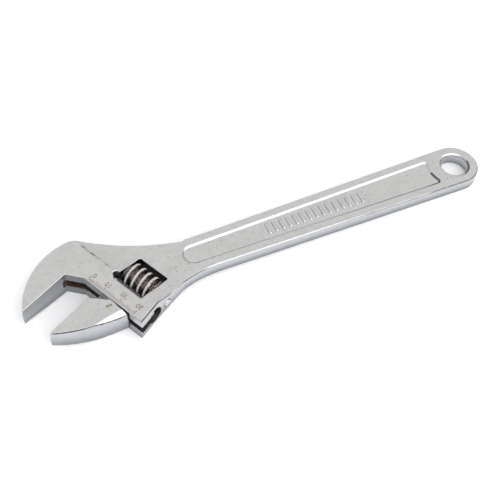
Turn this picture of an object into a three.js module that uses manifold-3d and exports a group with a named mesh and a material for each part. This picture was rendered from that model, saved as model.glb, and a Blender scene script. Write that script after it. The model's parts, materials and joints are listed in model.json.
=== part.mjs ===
// Adjustable wrench: a forged body with the fixed jaw, a jaw that slides in it on a round
// rack bar, the knurled worm that drives the bar, the worm's pin and the worm's spring.
//
// Millimetres, +Z up. The wrench lies flat: X runs along the handle towards the hang hole,
// and the fixed jaw is on the +Y side.
//
// Every piece is drawn in the head frame: the origin is the middle of the worm, U (the
// local X) is square to the slide and points to the handle, and V (the local Y) is the
// direction in which the jaw closes. The handle has a plan frame of its own, with its
// origin at the hang hole.

import * as THREE from 'three';
import { mergeVertices } from 'three/addons/utils/BufferGeometryUtils.js';
import Module from 'manifold-3d';

const wasm = await Module();
wasm.setup();

// ---- Driving dimensions -------------------------------------------------------------

// Where the head sits on the handle
const WORM_FROM_HOLE = 185.2;       // hang hole to worm middle, along the handle
const WORM_OFF_AXIS = 5.3;          // worm middle, below the handle's middle line
const JAW_ANGLE = 25;               // degrees, handle to jaw faces

// Handle
const HANDLE_THICKNESS = 7.2;
const HANDLE_END_WIDTH = 25.9;      // at the hang hole
const NECK_WIDTH = 20.9;            // at the narrowest place
const NECK_FROM_WORM = 39.2;         // along the handle
const NECK_OFFSET = 0.9;            // the neck's middle, below the handle's middle line
const ROOT_LENGTH = 28;             // handle stock that runs on inside the head
const ROOT_WIDTH = 10;
const HANDLE_EDGE_RADIUS = 1.2;
const HANG_HOLE_RADIUS = 7.5;
const HANG_HOLE_CHAMFER = 0.8;
const POCKET_DEPTH = 0.8;
const POCKET_FLANGE = 4.7;          // rim left on each side of a pocket
const POCKET_FROM_HOLE = 14.8;      // radius of a pocket's end round the hang hole
const POCKET_FROM_WORM = 23.6;      // a pocket's other end to the worm's middle
const POCKET_CORNER = 2.4;          // rounding beside the hang hole

// Head
const HEAD_THICKNESS = 14.3;
const JAW_TIP_THICKNESS = 10.5;
const HEAD_CROWN = 0.9;             // how far the forged sides bulge at mid thickness
const BACK_RADIUS = 39.2;           // round back of the head and fixed jaw
const BACK_CENTRE_U = -19.95;
const BACK_END_U = -10;             // where the round back ends
const HUMP_LENGTH = 5.1;            // bend between the round back and the neck, along U
const HUMP_DROP = 4.6;
const HUMP_BEND = 1.5;              // corner of that bend, in from both its ends
const CREASE_U = -6.8;              // end of the level faces of the head
const SLOPE_LENGTH = 18.4;          // crease to the level of the handle
const SLOPE_BEND = 0.37;            // where the slope's curve bends, as a share of it
const SLOPE_SAG = 1;                // height of that bend over the handle's level
const SIDE_V = -16.4;               // side of the head with the bore and the pin
const CORNER_DROP = 1.9;            // the head's lower corner, below that side
const CORNER_LENGTH = 13;           // how far that corner's slant runs along U
const SIDE_RISE = 1.1;              // the side's end at the neck, above its start
const SIDE_LENGTH = 22;
const NECK_INSET = 3.2;             // head's edge inside the handle's, at the neck
const FLARE_START_U = 3;            // where the handle starts to flow out of the side
const FLARE_PROUD = 0.2;            // how far it stands out there, with the bulge
const BACK_BLEND = 26;              // neck to the corner of the blend on the back
const BACK_BLEND_DROP = 1.7;        // that corner, inside the handle's edge
const CROWN_BAND = 0.4;             // straight band at mid thickness of a crowned side

// Jaws
const FRONT_FACE_U = -19.65;        // the face that the movable jaw slides along
const JAW_DEPTH = 30.9;             // front face to jaw tips
const FIXED_FACE_V = 27.35;
const THROAT_DEPTH = 4.5;           // front face to the throat corner
const THROAT_HEIGHT = 8.2;
const JAW_OPENING = 18;             // at rest
const HEEL_DEPTH = 6.1;             // movable jaw's heel, cut back for the throat
const HEEL_HEIGHT = 8.45;
const SHOULDER_LENGTH = 10.8;       // movable jaw's contact with the front face
const JAW_BELLY_DEPTH = 19.5;       // where the jaw's outer side bends, from its shoulder
const JAW_BELLY_V = -2.9;
const JAW_CROWN = 0.7;

// Slide
const BAR_RADIUS = 3.8;
const MESH_DEPTH = 1.75;            // how far the thread reaches into the bar
const BAR_TOP_V = 10.4;
const BAR_LENGTH = 25.6;
const WEB_THICKNESS = 4;
const WEB_TOP_DROP = 1.4;           // web's top end, below the bar's
const WEB_END_RISE = 1;             // web's other end, above the shoulder's
const SLIDE_GAP = 0.3;              // round the bar, the web and the shoulder
const END_GAP = 0.8;                // past the bar and the web when the jaws are shut
const SLOT_RUNOUT = 1.7;            // slot past the throat corner, into the jaw's root

// Worm, pin and spring
const WINDOW_LENGTH = 18.7;
const WINDOW_PAST_BAR = 0.7;        // bar's middle to the window's wall behind it
const WINDOW_PAST_WORM = 1.55;      // worm to the window's other wall
const WINDOW_CORNER = 0.8;
const RELIEF_RADIUS = 1.9;          // round relief in a corner of the window
const WORM_RADIUS = 7.1;
const WORM_END_GAP = 0.4;
const WORM_CHAMFER = 1.4;
const THREAD_PITCH = 4;
const THREAD_DEPTH = 2.1;
const THREAD_CREST = 1.2;
const THREAD_FLANK = 20;            // degrees
const THREAD_HAND = 1;              // 1 is a right-hand thread, -1 a left-hand one
const THREAD_PHASE = 0.25;          // where the thread stands at rest, in turns
const BAR_SIDE = 0.25;              // in turns, from the worm's top to its side at the bar
const MESH_GAP = 0.3;
const KNURL_COUNT = 48;
const KNURL_DEPTH = 0.3;
const PIN_RADIUS = 2;
const PIN_FIT = 0.05;               // radial, pin in the body
const PIN_SEAT = 6;                 // pin past the window's far wall
const WORM_BORE_GAP = 0.3;
const SPRING_WIRE = 0.7;
const SPRING_GAP = 0.35;
const SPRING_TURNS = 3;
const SPRING_ROOM = 3.6;            // depth of the worm's counterbore

// Opening scale on the head
const SCALE_MARKS = 30;
const SCALE_ZERO_V = 17.3;
const MARK_WIDTH = 0.25;
const MARK_DEPTH = 0.15;
const MARK_FROM_EDGE = 0.5;
const MARK_LENGTHS = { ten: 2.7, five: 2.1, one: 1.5 };

// Facets of the curves
const ROUND_FACETS = 40;
const WORM_FACETS = 48;
const THREAD_FACETS = 24;           // in a turn of the thread
const SPRING_FACETS = 16;           // in a turn of the spring
const OUTLINE_FACETS = 16;
const CROWN_FACETS = 4;

// Allowances for joining and cutting solids
const PAST = 80;                    // cutters run this far past the surfaces they cut
const SKIN = 0.5;                   // overlap of solids that are joined
const WELD = 1e-4;                  // points closer than this are one point

// ---- Values that follow from them ----------------------------------------------------

const halfHead = HEAD_THICKNESS / 2;
const halfHandle = HANDLE_THICKNESS / 2;
const halfTip = JAW_TIP_THICKNESS / 2;
const halfWindow = WINDOW_LENGTH / 2;
const endRadius = HANDLE_END_WIDTH / 2;
const neckHalf = NECK_WIDTH / 2;
const neckFromHole = WORM_FROM_HOLE - NECK_FROM_WORM;
const jawTipU = FRONT_FACE_U - JAW_DEPTH;
const throatU = FRONT_FACE_U - THROAT_DEPTH;
const shoulderU = FRONT_FACE_U - SLIDE_GAP;
const movableFaceV = FIXED_FACE_V - JAW_OPENING;
const slopeEndU = CREASE_U + SLOPE_LENGTH;
const barFromWorm = WORM_RADIUS + BAR_RADIUS - MESH_DEPTH;
const barU = -barFromWorm;
const windowLeft = barFromWorm + WINDOW_PAST_BAR;
const windowRight = WORM_RADIUS + WINDOW_PAST_WORM;
const barBottomV = BAR_TOP_V - BAR_LENGTH;
const boreRadius = BAR_RADIUS + SLIDE_GAP;
const boreTopV = BAR_TOP_V + JAW_OPENING + END_GAP;
const webTopV = BAR_TOP_V - WEB_TOP_DROP;
const threadRoot = WORM_RADIUS - THREAD_DEPTH;
const flankSlope = Math.tan(THREE.MathUtils.degToRad(THREAD_FLANK));
const wormHalf = halfWindow - WORM_END_GAP;
const wormBore = PIN_RADIUS + WORM_BORE_GAP;
const springRadius = wormBore + SPRING_WIRE;
const counterbore = springRadius + SPRING_WIRE / 2 + SPRING_GAP;

// ---- Making solids -------------------------------------------------------------------

// A closed three.js geometry as a solid
function solid(geometry) {
  geometry.deleteAttribute('normal');
  geometry.deleteAttribute('uv');
  const welded = mergeVertices(geometry, WELD);
  return new wasm.Manifold(new wasm.Mesh({
    numProp: 3,
    vertProperties: new Float32Array(welded.attributes.position.array),
    triVerts: new Uint32Array(welded.index.array),
  }));
}

function unite(parts) {
  return parts.reduce((whole, part) => whole.add(part));
}

// A plan outline as a slab between two levels
function slab(shape, low, high) {
  const geometry = new THREE.ExtrudeGeometry(shape, {
    depth: high - low, bevelEnabled: false, curveSegments: OUTLINE_FACETS,
  });
  return geometry.translate(0, 0, low);
}

// A plan outline as a slab about mid thickness, with elliptical sides
function crownedSlab(shape, half, crown) {
  const geometry = new THREE.ExtrudeGeometry(shape, {
    depth: CROWN_BAND,
    bevelThickness: half - CROWN_BAND / 2,
    bevelSize: crown,
    bevelSegments: CROWN_FACETS,
    curveSegments: OUTLINE_FACETS,
  });
  return geometry.translate(0, 0, -CROWN_BAND / 2);
}

function polygon(points) {
  return new THREE.Shape(points.map(([x, y]) => new THREE.Vector2(x, y)));
}

function rectangle(left, right, bottom, top) {
  return polygon([[left, bottom], [right, bottom], [right, top], [left, top]]);
}

function roundedRectangle(left, right, bottom, top, radius) {
  const shape = new THREE.Shape();
  shape.absarc(right - radius, bottom + radius, radius, -Math.PI / 2, 0);
  shape.absarc(right - radius, top - radius, radius, 0, Math.PI / 2);
  shape.absarc(left + radius, top - radius, radius, Math.PI / 2, Math.PI);
  shape.absarc(left + radius, bottom + radius, radius, Math.PI, Math.PI * 1.5);
  return shape;
}

function disc(x, y, radius) {
  const shape = new THREE.Shape();
  shape.absarc(x, y, radius, 0, Math.PI * 2);
  return shape;
}

// A solid turned round the line at u that runs along V, from [radius, v] corners
function turned(profile, u = 0, facets = ROUND_FACETS) {
  const corners = profile.map(([radius, v]) => new THREE.Vector2(radius, v));
  return new THREE.LatheGeometry(corners, facets).translate(u, 0, 0);
}

function rod(radius, fromV, toV, u = 0, facets = ROUND_FACETS) {
  return turned([[0, fromV], [radius, fromV], [radius, toV], [0, toV]], u, facets);
}

// ---- Between the handle's plan frame and the head frame ------------------------------

const headInHandle = new THREE.Matrix4()
  .makeRotationZ(THREE.MathUtils.degToRad(JAW_ANGLE))
  .setPosition(-WORM_FROM_HOLE, -WORM_OFF_AXIS, 0);
const handleInHead = headInHandle.clone().invert();

function handlePoint(x, y) {
  const point = new THREE.Vector3(x, y, 0).applyMatrix4(handleInHead);
  return [point.x, point.y];
}

function planPoint(u, v) {
  const point = new THREE.Vector3(u, v, 0).applyMatrix4(headInHandle);
  return [point.x, point.y];
}

// ---- Body: handle --------------------------------------------------------------------

// The handle tapers from the hang hole to the neck, flows out into the head's side, and
// ends inside the head
function handleOutline() {
  const taper = Math.asin((endRadius - neckHalf) / neckFromHole);
  const tangent = Math.PI / 2 + taper;
  const rootX = -neckFromHole - ROOT_LENGTH;
  const sideSlope = SIDE_RISE / SIDE_LENGTH;
  const sideStartU = FRONT_FACE_U + CORNER_LENGTH;
  const flareV = SIDE_V - FLARE_PROUD + sideSlope * (FLARE_START_U - sideStartU);
  const flareStart = planPoint(FLARE_START_U, flareV);
  const rise = Math.tan(THREE.MathUtils.degToRad(JAW_ANGLE) + Math.atan(sideSlope));
  const cornerY = -NECK_OFFSET - neckHalf;
  const flareCorner = [flareStart[0] + (cornerY - flareStart[1]) / rise, cornerY];
  const shape = new THREE.Shape();
  shape.moveTo(rootX, -NECK_OFFSET - ROOT_WIDTH / 2);
  shape.lineTo(...flareStart);
  shape.quadraticCurveTo(...flareCorner, -neckFromHole, -NECK_OFFSET - neckHalf);
  shape.absarc(0, 0, endRadius, -tangent, tangent);
  shape.lineTo(-neckFromHole, -NECK_OFFSET + neckHalf);
  shape.lineTo(-neckFromHole - neckHalf, -NECK_OFFSET + neckHalf);
  shape.lineTo(rootX, -NECK_OFFSET + ROOT_WIDTH / 2);
  shape.closePath();
  return shape;
}

function handleBlank() {
  const radius = HANDLE_EDGE_RADIUS;
  const geometry = new THREE.ExtrudeGeometry(handleOutline(), {
    depth: HANDLE_THICKNESS - 2 * radius,
    bevelThickness: radius,
    bevelSize: radius,
    bevelOffset: -radius,
    bevelSegments: CROWN_FACETS,
    curveSegments: OUTLINE_FACETS,
  });
  geometry.translate(0, 0, radius - halfHandle);
  return solid(geometry.applyMatrix4(handleInHead));
}

// The pocket's floor. The lower face's is drawn mirrored, because it is turned over.
function pocketFloor(face) {
  const endHalf = endRadius - POCKET_FLANGE - POCKET_DEPTH;
  const neckEnd = neckHalf - POCKET_FLANGE - POCKET_DEPTH;
  const nearRadius = POCKET_FROM_HOLE + POCKET_DEPTH;
  const spread = Math.asin(endHalf / nearRadius);
  const arc = spread - POCKET_CORNER / nearRadius;
  const roundX = neckHalf - POCKET_FLANGE + POCKET_FROM_WORM - WORM_FROM_HOLE;
  const endX = -nearRadius * Math.cos(spread);
  const shape = new THREE.Shape();
  shape.absarc(0, 0, nearRadius, Math.PI + arc, Math.PI - arc, true);
  shape.quadraticCurveTo(endX, endHalf, endX - POCKET_CORNER, endHalf);
  shape.absarc(roundX, -face * NECK_OFFSET, neckEnd, Math.PI / 2, Math.PI * 1.5);
  shape.lineTo(endX - POCKET_CORNER, -endHalf);
  shape.quadraticCurveTo(endX, -endHalf, -nearRadius * Math.cos(arc), -nearRadius * Math.sin(arc));
  return shape;
}

// Its walls slope out by as much as it is deep
function pocketCutter(face) {
  const geometry = new THREE.ExtrudeGeometry(pocketFloor(face), {
    depth: PAST,
    bevelThickness: POCKET_DEPTH,
    bevelSize: POCKET_DEPTH,
    bevelSegments: 1,
    curveSegments: OUTLINE_FACETS,
  });
  geometry.translate(0, 0, halfHandle);
  if (face < 0) geometry.rotateX(Math.PI);
  return solid(geometry.applyMatrix4(handleInHead));
}

function hangHoleCutter() {
  const rim = HANG_HOLE_RADIUS + HANG_HOLE_CHAMFER;
  const straight = halfHandle - HANG_HOLE_CHAMFER;
  const geometry = turned([
    [0, -halfHandle - SKIN],
    [rim + SKIN, -halfHandle - SKIN],
    [HANG_HOLE_RADIUS, -straight],
    [HANG_HOLE_RADIUS, straight],
    [rim + SKIN, halfHandle + SKIN],
    [0, halfHandle + SKIN],
  ]);
  return solid(geometry.rotateX(Math.PI / 2).applyMatrix4(handleInHead));
}

// ---- Body: head ----------------------------------------------------------------------

// The forging's plan, with the mouth still filled. At the neck it narrows into the
// handle, so that the head's crisp edges run out on the handle's round ones.
function headOutline() {
  const inHandle = neckHalf - NECK_INSET;
  const backCentreV = FIXED_FACE_V - Math.sqrt(BACK_RADIUS ** 2 - (jawTipU - BACK_CENTRE_U) ** 2);
  const tipAngle = Math.atan2(FIXED_FACE_V - backCentreV, jawTipU - BACK_CENTRE_U);
  const endAngle = Math.acos((BACK_END_U - BACK_CENTRE_U) / BACK_RADIUS);
  const backEndV = backCentreV + BACK_RADIUS * Math.sin(endAngle);
  const humpU = BACK_END_U + HUMP_LENGTH;
  const humpV = backEndV - HUMP_DROP;
  const lower = handlePoint(-neckFromHole, -NECK_OFFSET - inHandle);
  const upper = handlePoint(-neckFromHole, -NECK_OFFSET + inHandle);
  const blend = handlePoint(
    -neckFromHole - BACK_BLEND, -NECK_OFFSET + neckHalf - BACK_BLEND_DROP,
  );
  const shape = new THREE.Shape();
  shape.moveTo(jawTipU, FIXED_FACE_V);
  shape.lineTo(jawTipU, SIDE_V - CORNER_DROP);
  shape.lineTo(FRONT_FACE_U, SIDE_V - CORNER_DROP);
  shape.lineTo(FRONT_FACE_U + CORNER_LENGTH, SIDE_V);
  shape.lineTo(FRONT_FACE_U + CORNER_LENGTH + SIDE_LENGTH, SIDE_V + SIDE_RISE);
  shape.lineTo(...lower);
  shape.lineTo(...upper);
  shape.quadraticCurveTo(...blend, humpU, humpV);
  shape.quadraticCurveTo(humpU - HUMP_BEND, backEndV - HUMP_BEND, BACK_END_U, backEndV);
  shape.absarc(BACK_CENTRE_U, backCentreV, BACK_RADIUS, endAngle, tipAngle);
  return shape;
}

// Room for the thickness that head and jaws have: level between throat and crease,
// thinner towards the jaw tips, and falling to the handle's level behind the crease.
// The profile is drawn in U and Z, and runs along V.
function thicknessEnvelope() {
  const taper = (halfHead - halfTip) / (throatU - jawTipU);
  const beyond = HEAD_CROWN + SKIN;
  const upper = new THREE.Path();
  upper.moveTo(jawTipU - beyond, halfTip - beyond * taper);
  upper.lineTo(throatU, halfHead);
  upper.lineTo(CREASE_U, halfHead);
  upper.quadraticCurveTo(
    CREASE_U + SLOPE_BEND * SLOPE_LENGTH, halfHandle + SLOPE_SAG, slopeEndU, halfHandle,
  );
  upper.lineTo(slopeEndU + PAST, halfHandle);
  const top = upper.getPoints(OUTLINE_FACETS);
  const bottom = top.map((point) => new THREE.Vector2(point.x, -point.y)).reverse();
  const geometry = slab(new THREE.Shape([...bottom, ...top]), -2 * PAST, 2 * PAST);
  return solid(geometry.rotateX(Math.PI / 2));
}

// Jaw face, throat facet and front face are cut square to the flats
function mouthCutter() {
  const shape = polygon([
    [throatU, FIXED_FACE_V], [-PAST, FIXED_FACE_V], [-PAST, -PAST],
    [FRONT_FACE_U, -PAST], [FRONT_FACE_U, FIXED_FACE_V - THROAT_HEIGHT],
  ]);
  return solid(slab(shape, -PAST, PAST));
}

function slideCutter() {
  const slotHalf = WEB_THICKNESS / 2 + SLIDE_GAP;
  const slotTopV = webTopV + JAW_OPENING + END_GAP;
  const bore = rod(boreRadius, -PAST, boreTopV, barU);
  const slot = slab(rectangle(throatU - SLOT_RUNOUT, barU, -PAST, slotTopV), -slotHalf, slotHalf);
  return solid(bore).add(solid(slot));
}

function windowCutter() {
  const shape = roundedRectangle(-windowLeft, windowRight, -halfWindow, halfWindow, WINDOW_CORNER);
  const relief = disc(RELIEF_RADIUS - windowLeft + WINDOW_CORNER, halfWindow, RELIEF_RADIUS);
  return solid(slab(shape, -PAST, PAST)).add(solid(slab(relief, -PAST, PAST)));
}

function pinHoleCutter() {
  return solid(rod(PIN_RADIUS + PIN_FIT, -PAST, halfWindow + PIN_SEAT + PIN_FIT));
}

// One groove for each millimetre of opening, longer at fives and tens
function scaleCutter() {
  const start = FRONT_FACE_U + MARK_FROM_EDGE;
  const marks = Array.from({ length: SCALE_MARKS + 1 }, (_, index) => {
    const length = markLength(index);
    const v = SCALE_ZERO_V - index;
    const shape = rectangle(start, start + length, v - MARK_WIDTH / 2, v + MARK_WIDTH / 2);
    return solid(slab(shape, halfHead - MARK_DEPTH, halfHead + SKIN));
  });
  return unite(marks);
}

function markLength(index) {
  if (index % 10 === 0) return MARK_LENGTHS.ten;
  return index % 5 === 0 ? MARK_LENGTHS.five : MARK_LENGTHS.one;
}

function makeBody() {
  const head = solid(crownedSlab(headOutline(), halfHead, HEAD_CROWN)).intersect(thicknessEnvelope());
  return head
    .add(handleBlank())
    .subtract(mouthCutter())
    .subtract(slideCutter())
    .subtract(windowCutter())
    .subtract(pinHoleCutter())
    .subtract(scaleCutter())
    .subtract(hangHoleCutter())
    .subtract(pocketCutter(1))
    .subtract(pocketCutter(-1));
}

// ---- Movable jaw ---------------------------------------------------------------------

function jawOutline() {
  const shape = new THREE.Shape();
  const shoulderEndV = movableFaceV - HEEL_HEIGHT - SHOULDER_LENGTH;
  shape.moveTo(jawTipU, movableFaceV);
  shape.quadraticCurveTo(shoulderU - JAW_BELLY_DEPTH, JAW_BELLY_V, shoulderU, shoulderEndV);
  shape.lineTo(shoulderU, movableFaceV - HEEL_HEIGHT);
  shape.lineTo(shoulderU - HEEL_DEPTH, movableFaceV);
  shape.closePath();
  return shape;
}

// Its face, heel and shoulder are flat, and only its outer side is crowned
function jawBlock() {
  const room = polygon([
    [-PAST, movableFaceV], [-PAST, -PAST], [shoulderU, -PAST],
    [shoulderU, movableFaceV - HEEL_HEIGHT], [shoulderU - HEEL_DEPTH, movableFaceV],
  ]);
  return solid(crownedSlab(jawOutline(), halfHead, JAW_CROWN))
    .intersect(solid(slab(room, -PAST, PAST)))
    .intersect(thicknessEnvelope());
}

function webAndBar() {
  const webBottomV = movableFaceV - HEEL_HEIGHT - SHOULDER_LENGTH + WEB_END_RISE;
  const half = WEB_THICKNESS / 2;
  const heel = polygon([
    [barU, webBottomV], [barU, webTopV], [shoulderU - HEEL_DEPTH + SKIN, webTopV],
    [shoulderU - SKIN, movableFaceV - HEEL_HEIGHT], [shoulderU - SKIN, webBottomV],
  ]);
  return solid(slab(heel, -half, half)).add(solid(rod(BAR_RADIUS, barBottomV, BAR_TOP_V, barU)));
}

// Thread's half width at a distance from the worm's axis
function threadHalfWidth(radius) {
  return THREAD_CREST / 2 + (WORM_RADIUS - radius) * flankSlope;
}

// Grooves across the bar, slanted as the thread is where it meets them
function rackCutter() {
  const deep = WORM_RADIUS + MESH_GAP;
  const shallow = barFromWorm - BAR_RADIUS - SKIN;
  const deepHalf = threadHalfWidth(WORM_RADIUS) + MESH_GAP;
  const shallowHalf = threadHalfWidth(shallow) + MESH_GAP;
  const meshRadius = (deep + shallow) / 2;
  const slant = THREAD_HAND * THREAD_PITCH / (2 * Math.PI * meshRadius);
  const lean = new THREE.Matrix4().makeShear(0, 0, 0, 0, 0, slant);
  const first = Math.ceil((barBottomV - THREAD_PITCH) / THREAD_PITCH);
  const count = Math.ceil(BAR_LENGTH / THREAD_PITCH) + 2;
  const grooves = Array.from({ length: count }, (_, index) => {
    const v = (first + index + THREAD_PHASE) * THREAD_PITCH;
    const shape = polygon([
      [-deep, v - deepHalf], [-shallow, v - shallowHalf],
      [-shallow, v + shallowHalf], [-deep, v + deepHalf],
    ]);
    return solid(slab(shape, -BAR_RADIUS - SKIN, BAR_RADIUS + SKIN).applyMatrix4(lean));
  });
  return unite(grooves);
}

function makeMovableJaw() {
  return jawBlock().add(webAndBar()).subtract(rackCutter());
}

// ---- Worm, pin and spring ------------------------------------------------------------

// A bar of the thread's section, bent along its helix. Its ends lie past the worm's ends,
// and the thread is centred on the rack's grooves where it faces the bar.
function threadRibbon() {
  const span = 2 * wormHalf + 2 * THREAD_PITCH;
  const turns = span / THREAD_PITCH;
  const geometry = new THREE.BoxGeometry(1, 1, 1, 1, 1, Math.round(turns * THREAD_FACETS));
  const position = geometry.attributes.position;
  for (let i = 0; i < position.count; i += 1) {
    const radius = threadRoot - SKIN + (position.getX(i) + 0.5) * (THREAD_DEPTH + SKIN);
    const angle = -position.getZ(i) * turns * 2 * Math.PI;
    const along = THREAD_HAND * (angle / (2 * Math.PI) + BAR_SIDE) + THREAD_PHASE;
    const middle = along * THREAD_PITCH;
    const v = middle + 2 * position.getY(i) * threadHalfWidth(radius);
    position.setXYZ(i, radius * Math.sin(angle), v, radius * Math.cos(angle));
  }
  return solid(geometry);
}

function wormBlank() {
  const rim = WORM_RADIUS - WORM_CHAMFER;
  return solid(turned([
    [0, -wormHalf], [rim, -wormHalf], [WORM_RADIUS, WORM_CHAMFER - wormHalf],
    [WORM_RADIUS, wormHalf - WORM_CHAMFER], [rim, wormHalf], [0, wormHalf],
  ], 0, WORM_FACETS));
}

// Fine grooves along the worm, so that a thumb can turn it
function knurlCutter() {
  const grooves = Array.from({ length: KNURL_COUNT }, (_, index) => {
    const shape = polygon([
      [WORM_RADIUS - KNURL_DEPTH, 0], [WORM_RADIUS + KNURL_DEPTH, -2 * KNURL_DEPTH],
      [WORM_RADIUS + KNURL_DEPTH, 2 * KNURL_DEPTH],
    ]);
    const geometry = slab(shape, -PAST, PAST).rotateX(Math.PI / 2);
    return solid(geometry.rotateY((index + 0.5) * 2 * Math.PI / KNURL_COUNT));
  });
  return unite(grooves);
}

function makeWorm() {
  const core = solid(rod(threadRoot, -wormHalf, wormHalf, 0, WORM_FACETS));
  return core
    .add(threadRibbon())
    .intersect(wormBlank())
    .subtract(knurlCutter())
    .subtract(solid(rod(wormBore, -PAST, PAST)))
    .subtract(solid(rod(counterbore, wormHalf - SPRING_ROOM, PAST)));
}

// Pressed in from the head's side until its end is flush there
function makePin() {
  return solid(rod(PIN_RADIUS, SIDE_V - HEAD_CROWN, halfWindow + PIN_SEAT));
}

class Helix extends THREE.Curve {
  constructor(radius, from, to, turns) {
    super();
    Object.assign(this, { radius, from, to, turns });
  }

  getPoint(t, target = new THREE.Vector3()) {
    const angle = t * this.turns * 2 * Math.PI;
    const v = this.from + (this.to - this.from) * t;
    return target.set(this.radius * Math.sin(angle), v, this.radius * Math.cos(angle));
  }
}

function makeSpring() {
  const wire = SPRING_WIRE / 2;
  const from = wormHalf - SPRING_ROOM + SPRING_GAP + wire;
  const to = halfWindow - SPRING_GAP - wire;
  const geometry = new THREE.ExtrudeGeometry(disc(0, 0, wire), {
    steps: SPRING_TURNS * SPRING_FACETS,
    extrudePath: new Helix(springRadius, from, to, SPRING_TURNS),
    curveSegments: CROWN_FACETS,
  });
  return solid(geometry);
}

// ---- Assembly ------------------------------------------------------------------------

const steel = { color: 0xc6c7c6, roughness: 0.38, metalness: 0.9 };
const brightSteel = { color: 0xd2d4d6, roughness: 0.25, metalness: 1 };
const darkSteel = { color: 0x8f8a86, roughness: 0.32, metalness: 1 };

function piece(name, manifold, finish) {
  const mesh = manifold.getMesh();
  const geometry = new THREE.BufferGeometry();
  geometry.setAttribute('position', new THREE.BufferAttribute(mesh.vertProperties, 3));
  geometry.setIndex(new THREE.BufferAttribute(mesh.triVerts, 1));
  geometry.computeVertexNormals();
  const part = new THREE.Mesh(geometry, new THREE.MeshStandardMaterial(finish));
  part.name = name;
  return part;
}

const head = new THREE.Group();
head.add(piece('body', makeBody(), steel));
head.add(piece('movable_jaw', makeMovableJaw(), steel));
head.add(piece('adjusting_worm', makeWorm(), darkSteel));
head.add(piece('worm_pin', makePin(), brightSteel));
head.add(piece('worm_spring', makeSpring(), brightSteel));
head.applyMatrix4(headInHandle);

// The origin is the middle of the whole wrench's footprint, on the ground
const wrench = new THREE.Group();
wrench.add(head);
const extent = new THREE.Box3().setFromObject(wrench, true);
const middle = extent.getCenter(new THREE.Vector3());
wrench.position.set(-middle.x, -middle.y, -extent.min.z);

export default wrench;
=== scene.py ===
"""Looks of an adjustable wrench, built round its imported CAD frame.

The forged pieces are built as solids in the head's own frame, in millimetres, then remeshed
finely and eased, so that every edge has the small radius of a plated forging.
"""

import json
import logging
import math
from dataclasses import dataclass, field
from enum import Enum
from typing import Any, Sequence

import bmesh
import bpy
import numpy as np
from mathutils import Matrix, Vector, noise


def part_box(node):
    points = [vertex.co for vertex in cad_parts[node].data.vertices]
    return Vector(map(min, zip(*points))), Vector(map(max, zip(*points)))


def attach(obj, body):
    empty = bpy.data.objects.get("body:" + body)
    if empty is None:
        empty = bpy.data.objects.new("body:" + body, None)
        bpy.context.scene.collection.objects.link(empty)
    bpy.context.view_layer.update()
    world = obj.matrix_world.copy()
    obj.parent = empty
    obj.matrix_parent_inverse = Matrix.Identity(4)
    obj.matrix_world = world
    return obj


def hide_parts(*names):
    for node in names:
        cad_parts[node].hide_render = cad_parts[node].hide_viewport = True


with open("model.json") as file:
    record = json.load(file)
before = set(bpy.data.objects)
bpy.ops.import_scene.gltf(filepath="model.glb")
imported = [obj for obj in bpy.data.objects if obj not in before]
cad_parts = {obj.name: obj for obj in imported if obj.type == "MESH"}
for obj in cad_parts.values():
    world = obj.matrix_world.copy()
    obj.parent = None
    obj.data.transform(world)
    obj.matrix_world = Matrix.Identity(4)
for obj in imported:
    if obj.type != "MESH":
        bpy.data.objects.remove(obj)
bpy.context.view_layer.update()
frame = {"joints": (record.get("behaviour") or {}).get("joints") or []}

log = logging.getLogger("wrench")

Point = tuple[float, float]
Colour = tuple[float, float, float]

MM = 0.001
FULL_TURN = 2 * math.pi


class Combine(Enum):
    """How one solid acts on another."""

    JOIN = "UNION"
    CUT = "DIFFERENCE"
    KEEP_COMMON = "INTERSECT"


class Run(Enum):
    """The direction in which an outline is drawn out into a solid."""

    UP = "up"
    CLOSING = "closing"


class BodyName(Enum):
    """The rigid bodies that pieces ride on."""

    BODY = "body"
    JAW = "jaw"
    WORM = "worm"


# ---- Frame ---------------------------------------------------------------------------


@dataclass(frozen=True)
class HeadFrame:
    """The head's frame: origin in the worm, U to the handle, V the way the jaw closes."""

    to_row: Matrix

    @classmethod
    def from_joint(cls, joints: Sequence[dict[str, Any]], name: str) -> "HeadFrame":
        """Read the frame from the joint that the worm turns on.

        Args:
            joints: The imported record's joints.
            name: The name of the worm's joint.

        Returns:
            The frame, which also turns millimetres into metres.
        """
        joint = next(entry for entry in joints if entry["name"] == name)
        closing = Vector(joint["axis"]).normalized()
        handleward = Vector((closing.y, -closing.x, 0.0))
        turn = Matrix((handleward, closing, Vector((0, 0, 1)))).transposed().to_4x4()
        return cls(Matrix.Translation(joint["pos_m"]) @ turn @ Matrix.Scale(MM, 4))


HEAD = HeadFrame.from_joint(frame["joints"], "worm_spin")


# ---- Outlines and solids -------------------------------------------------------------


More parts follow.
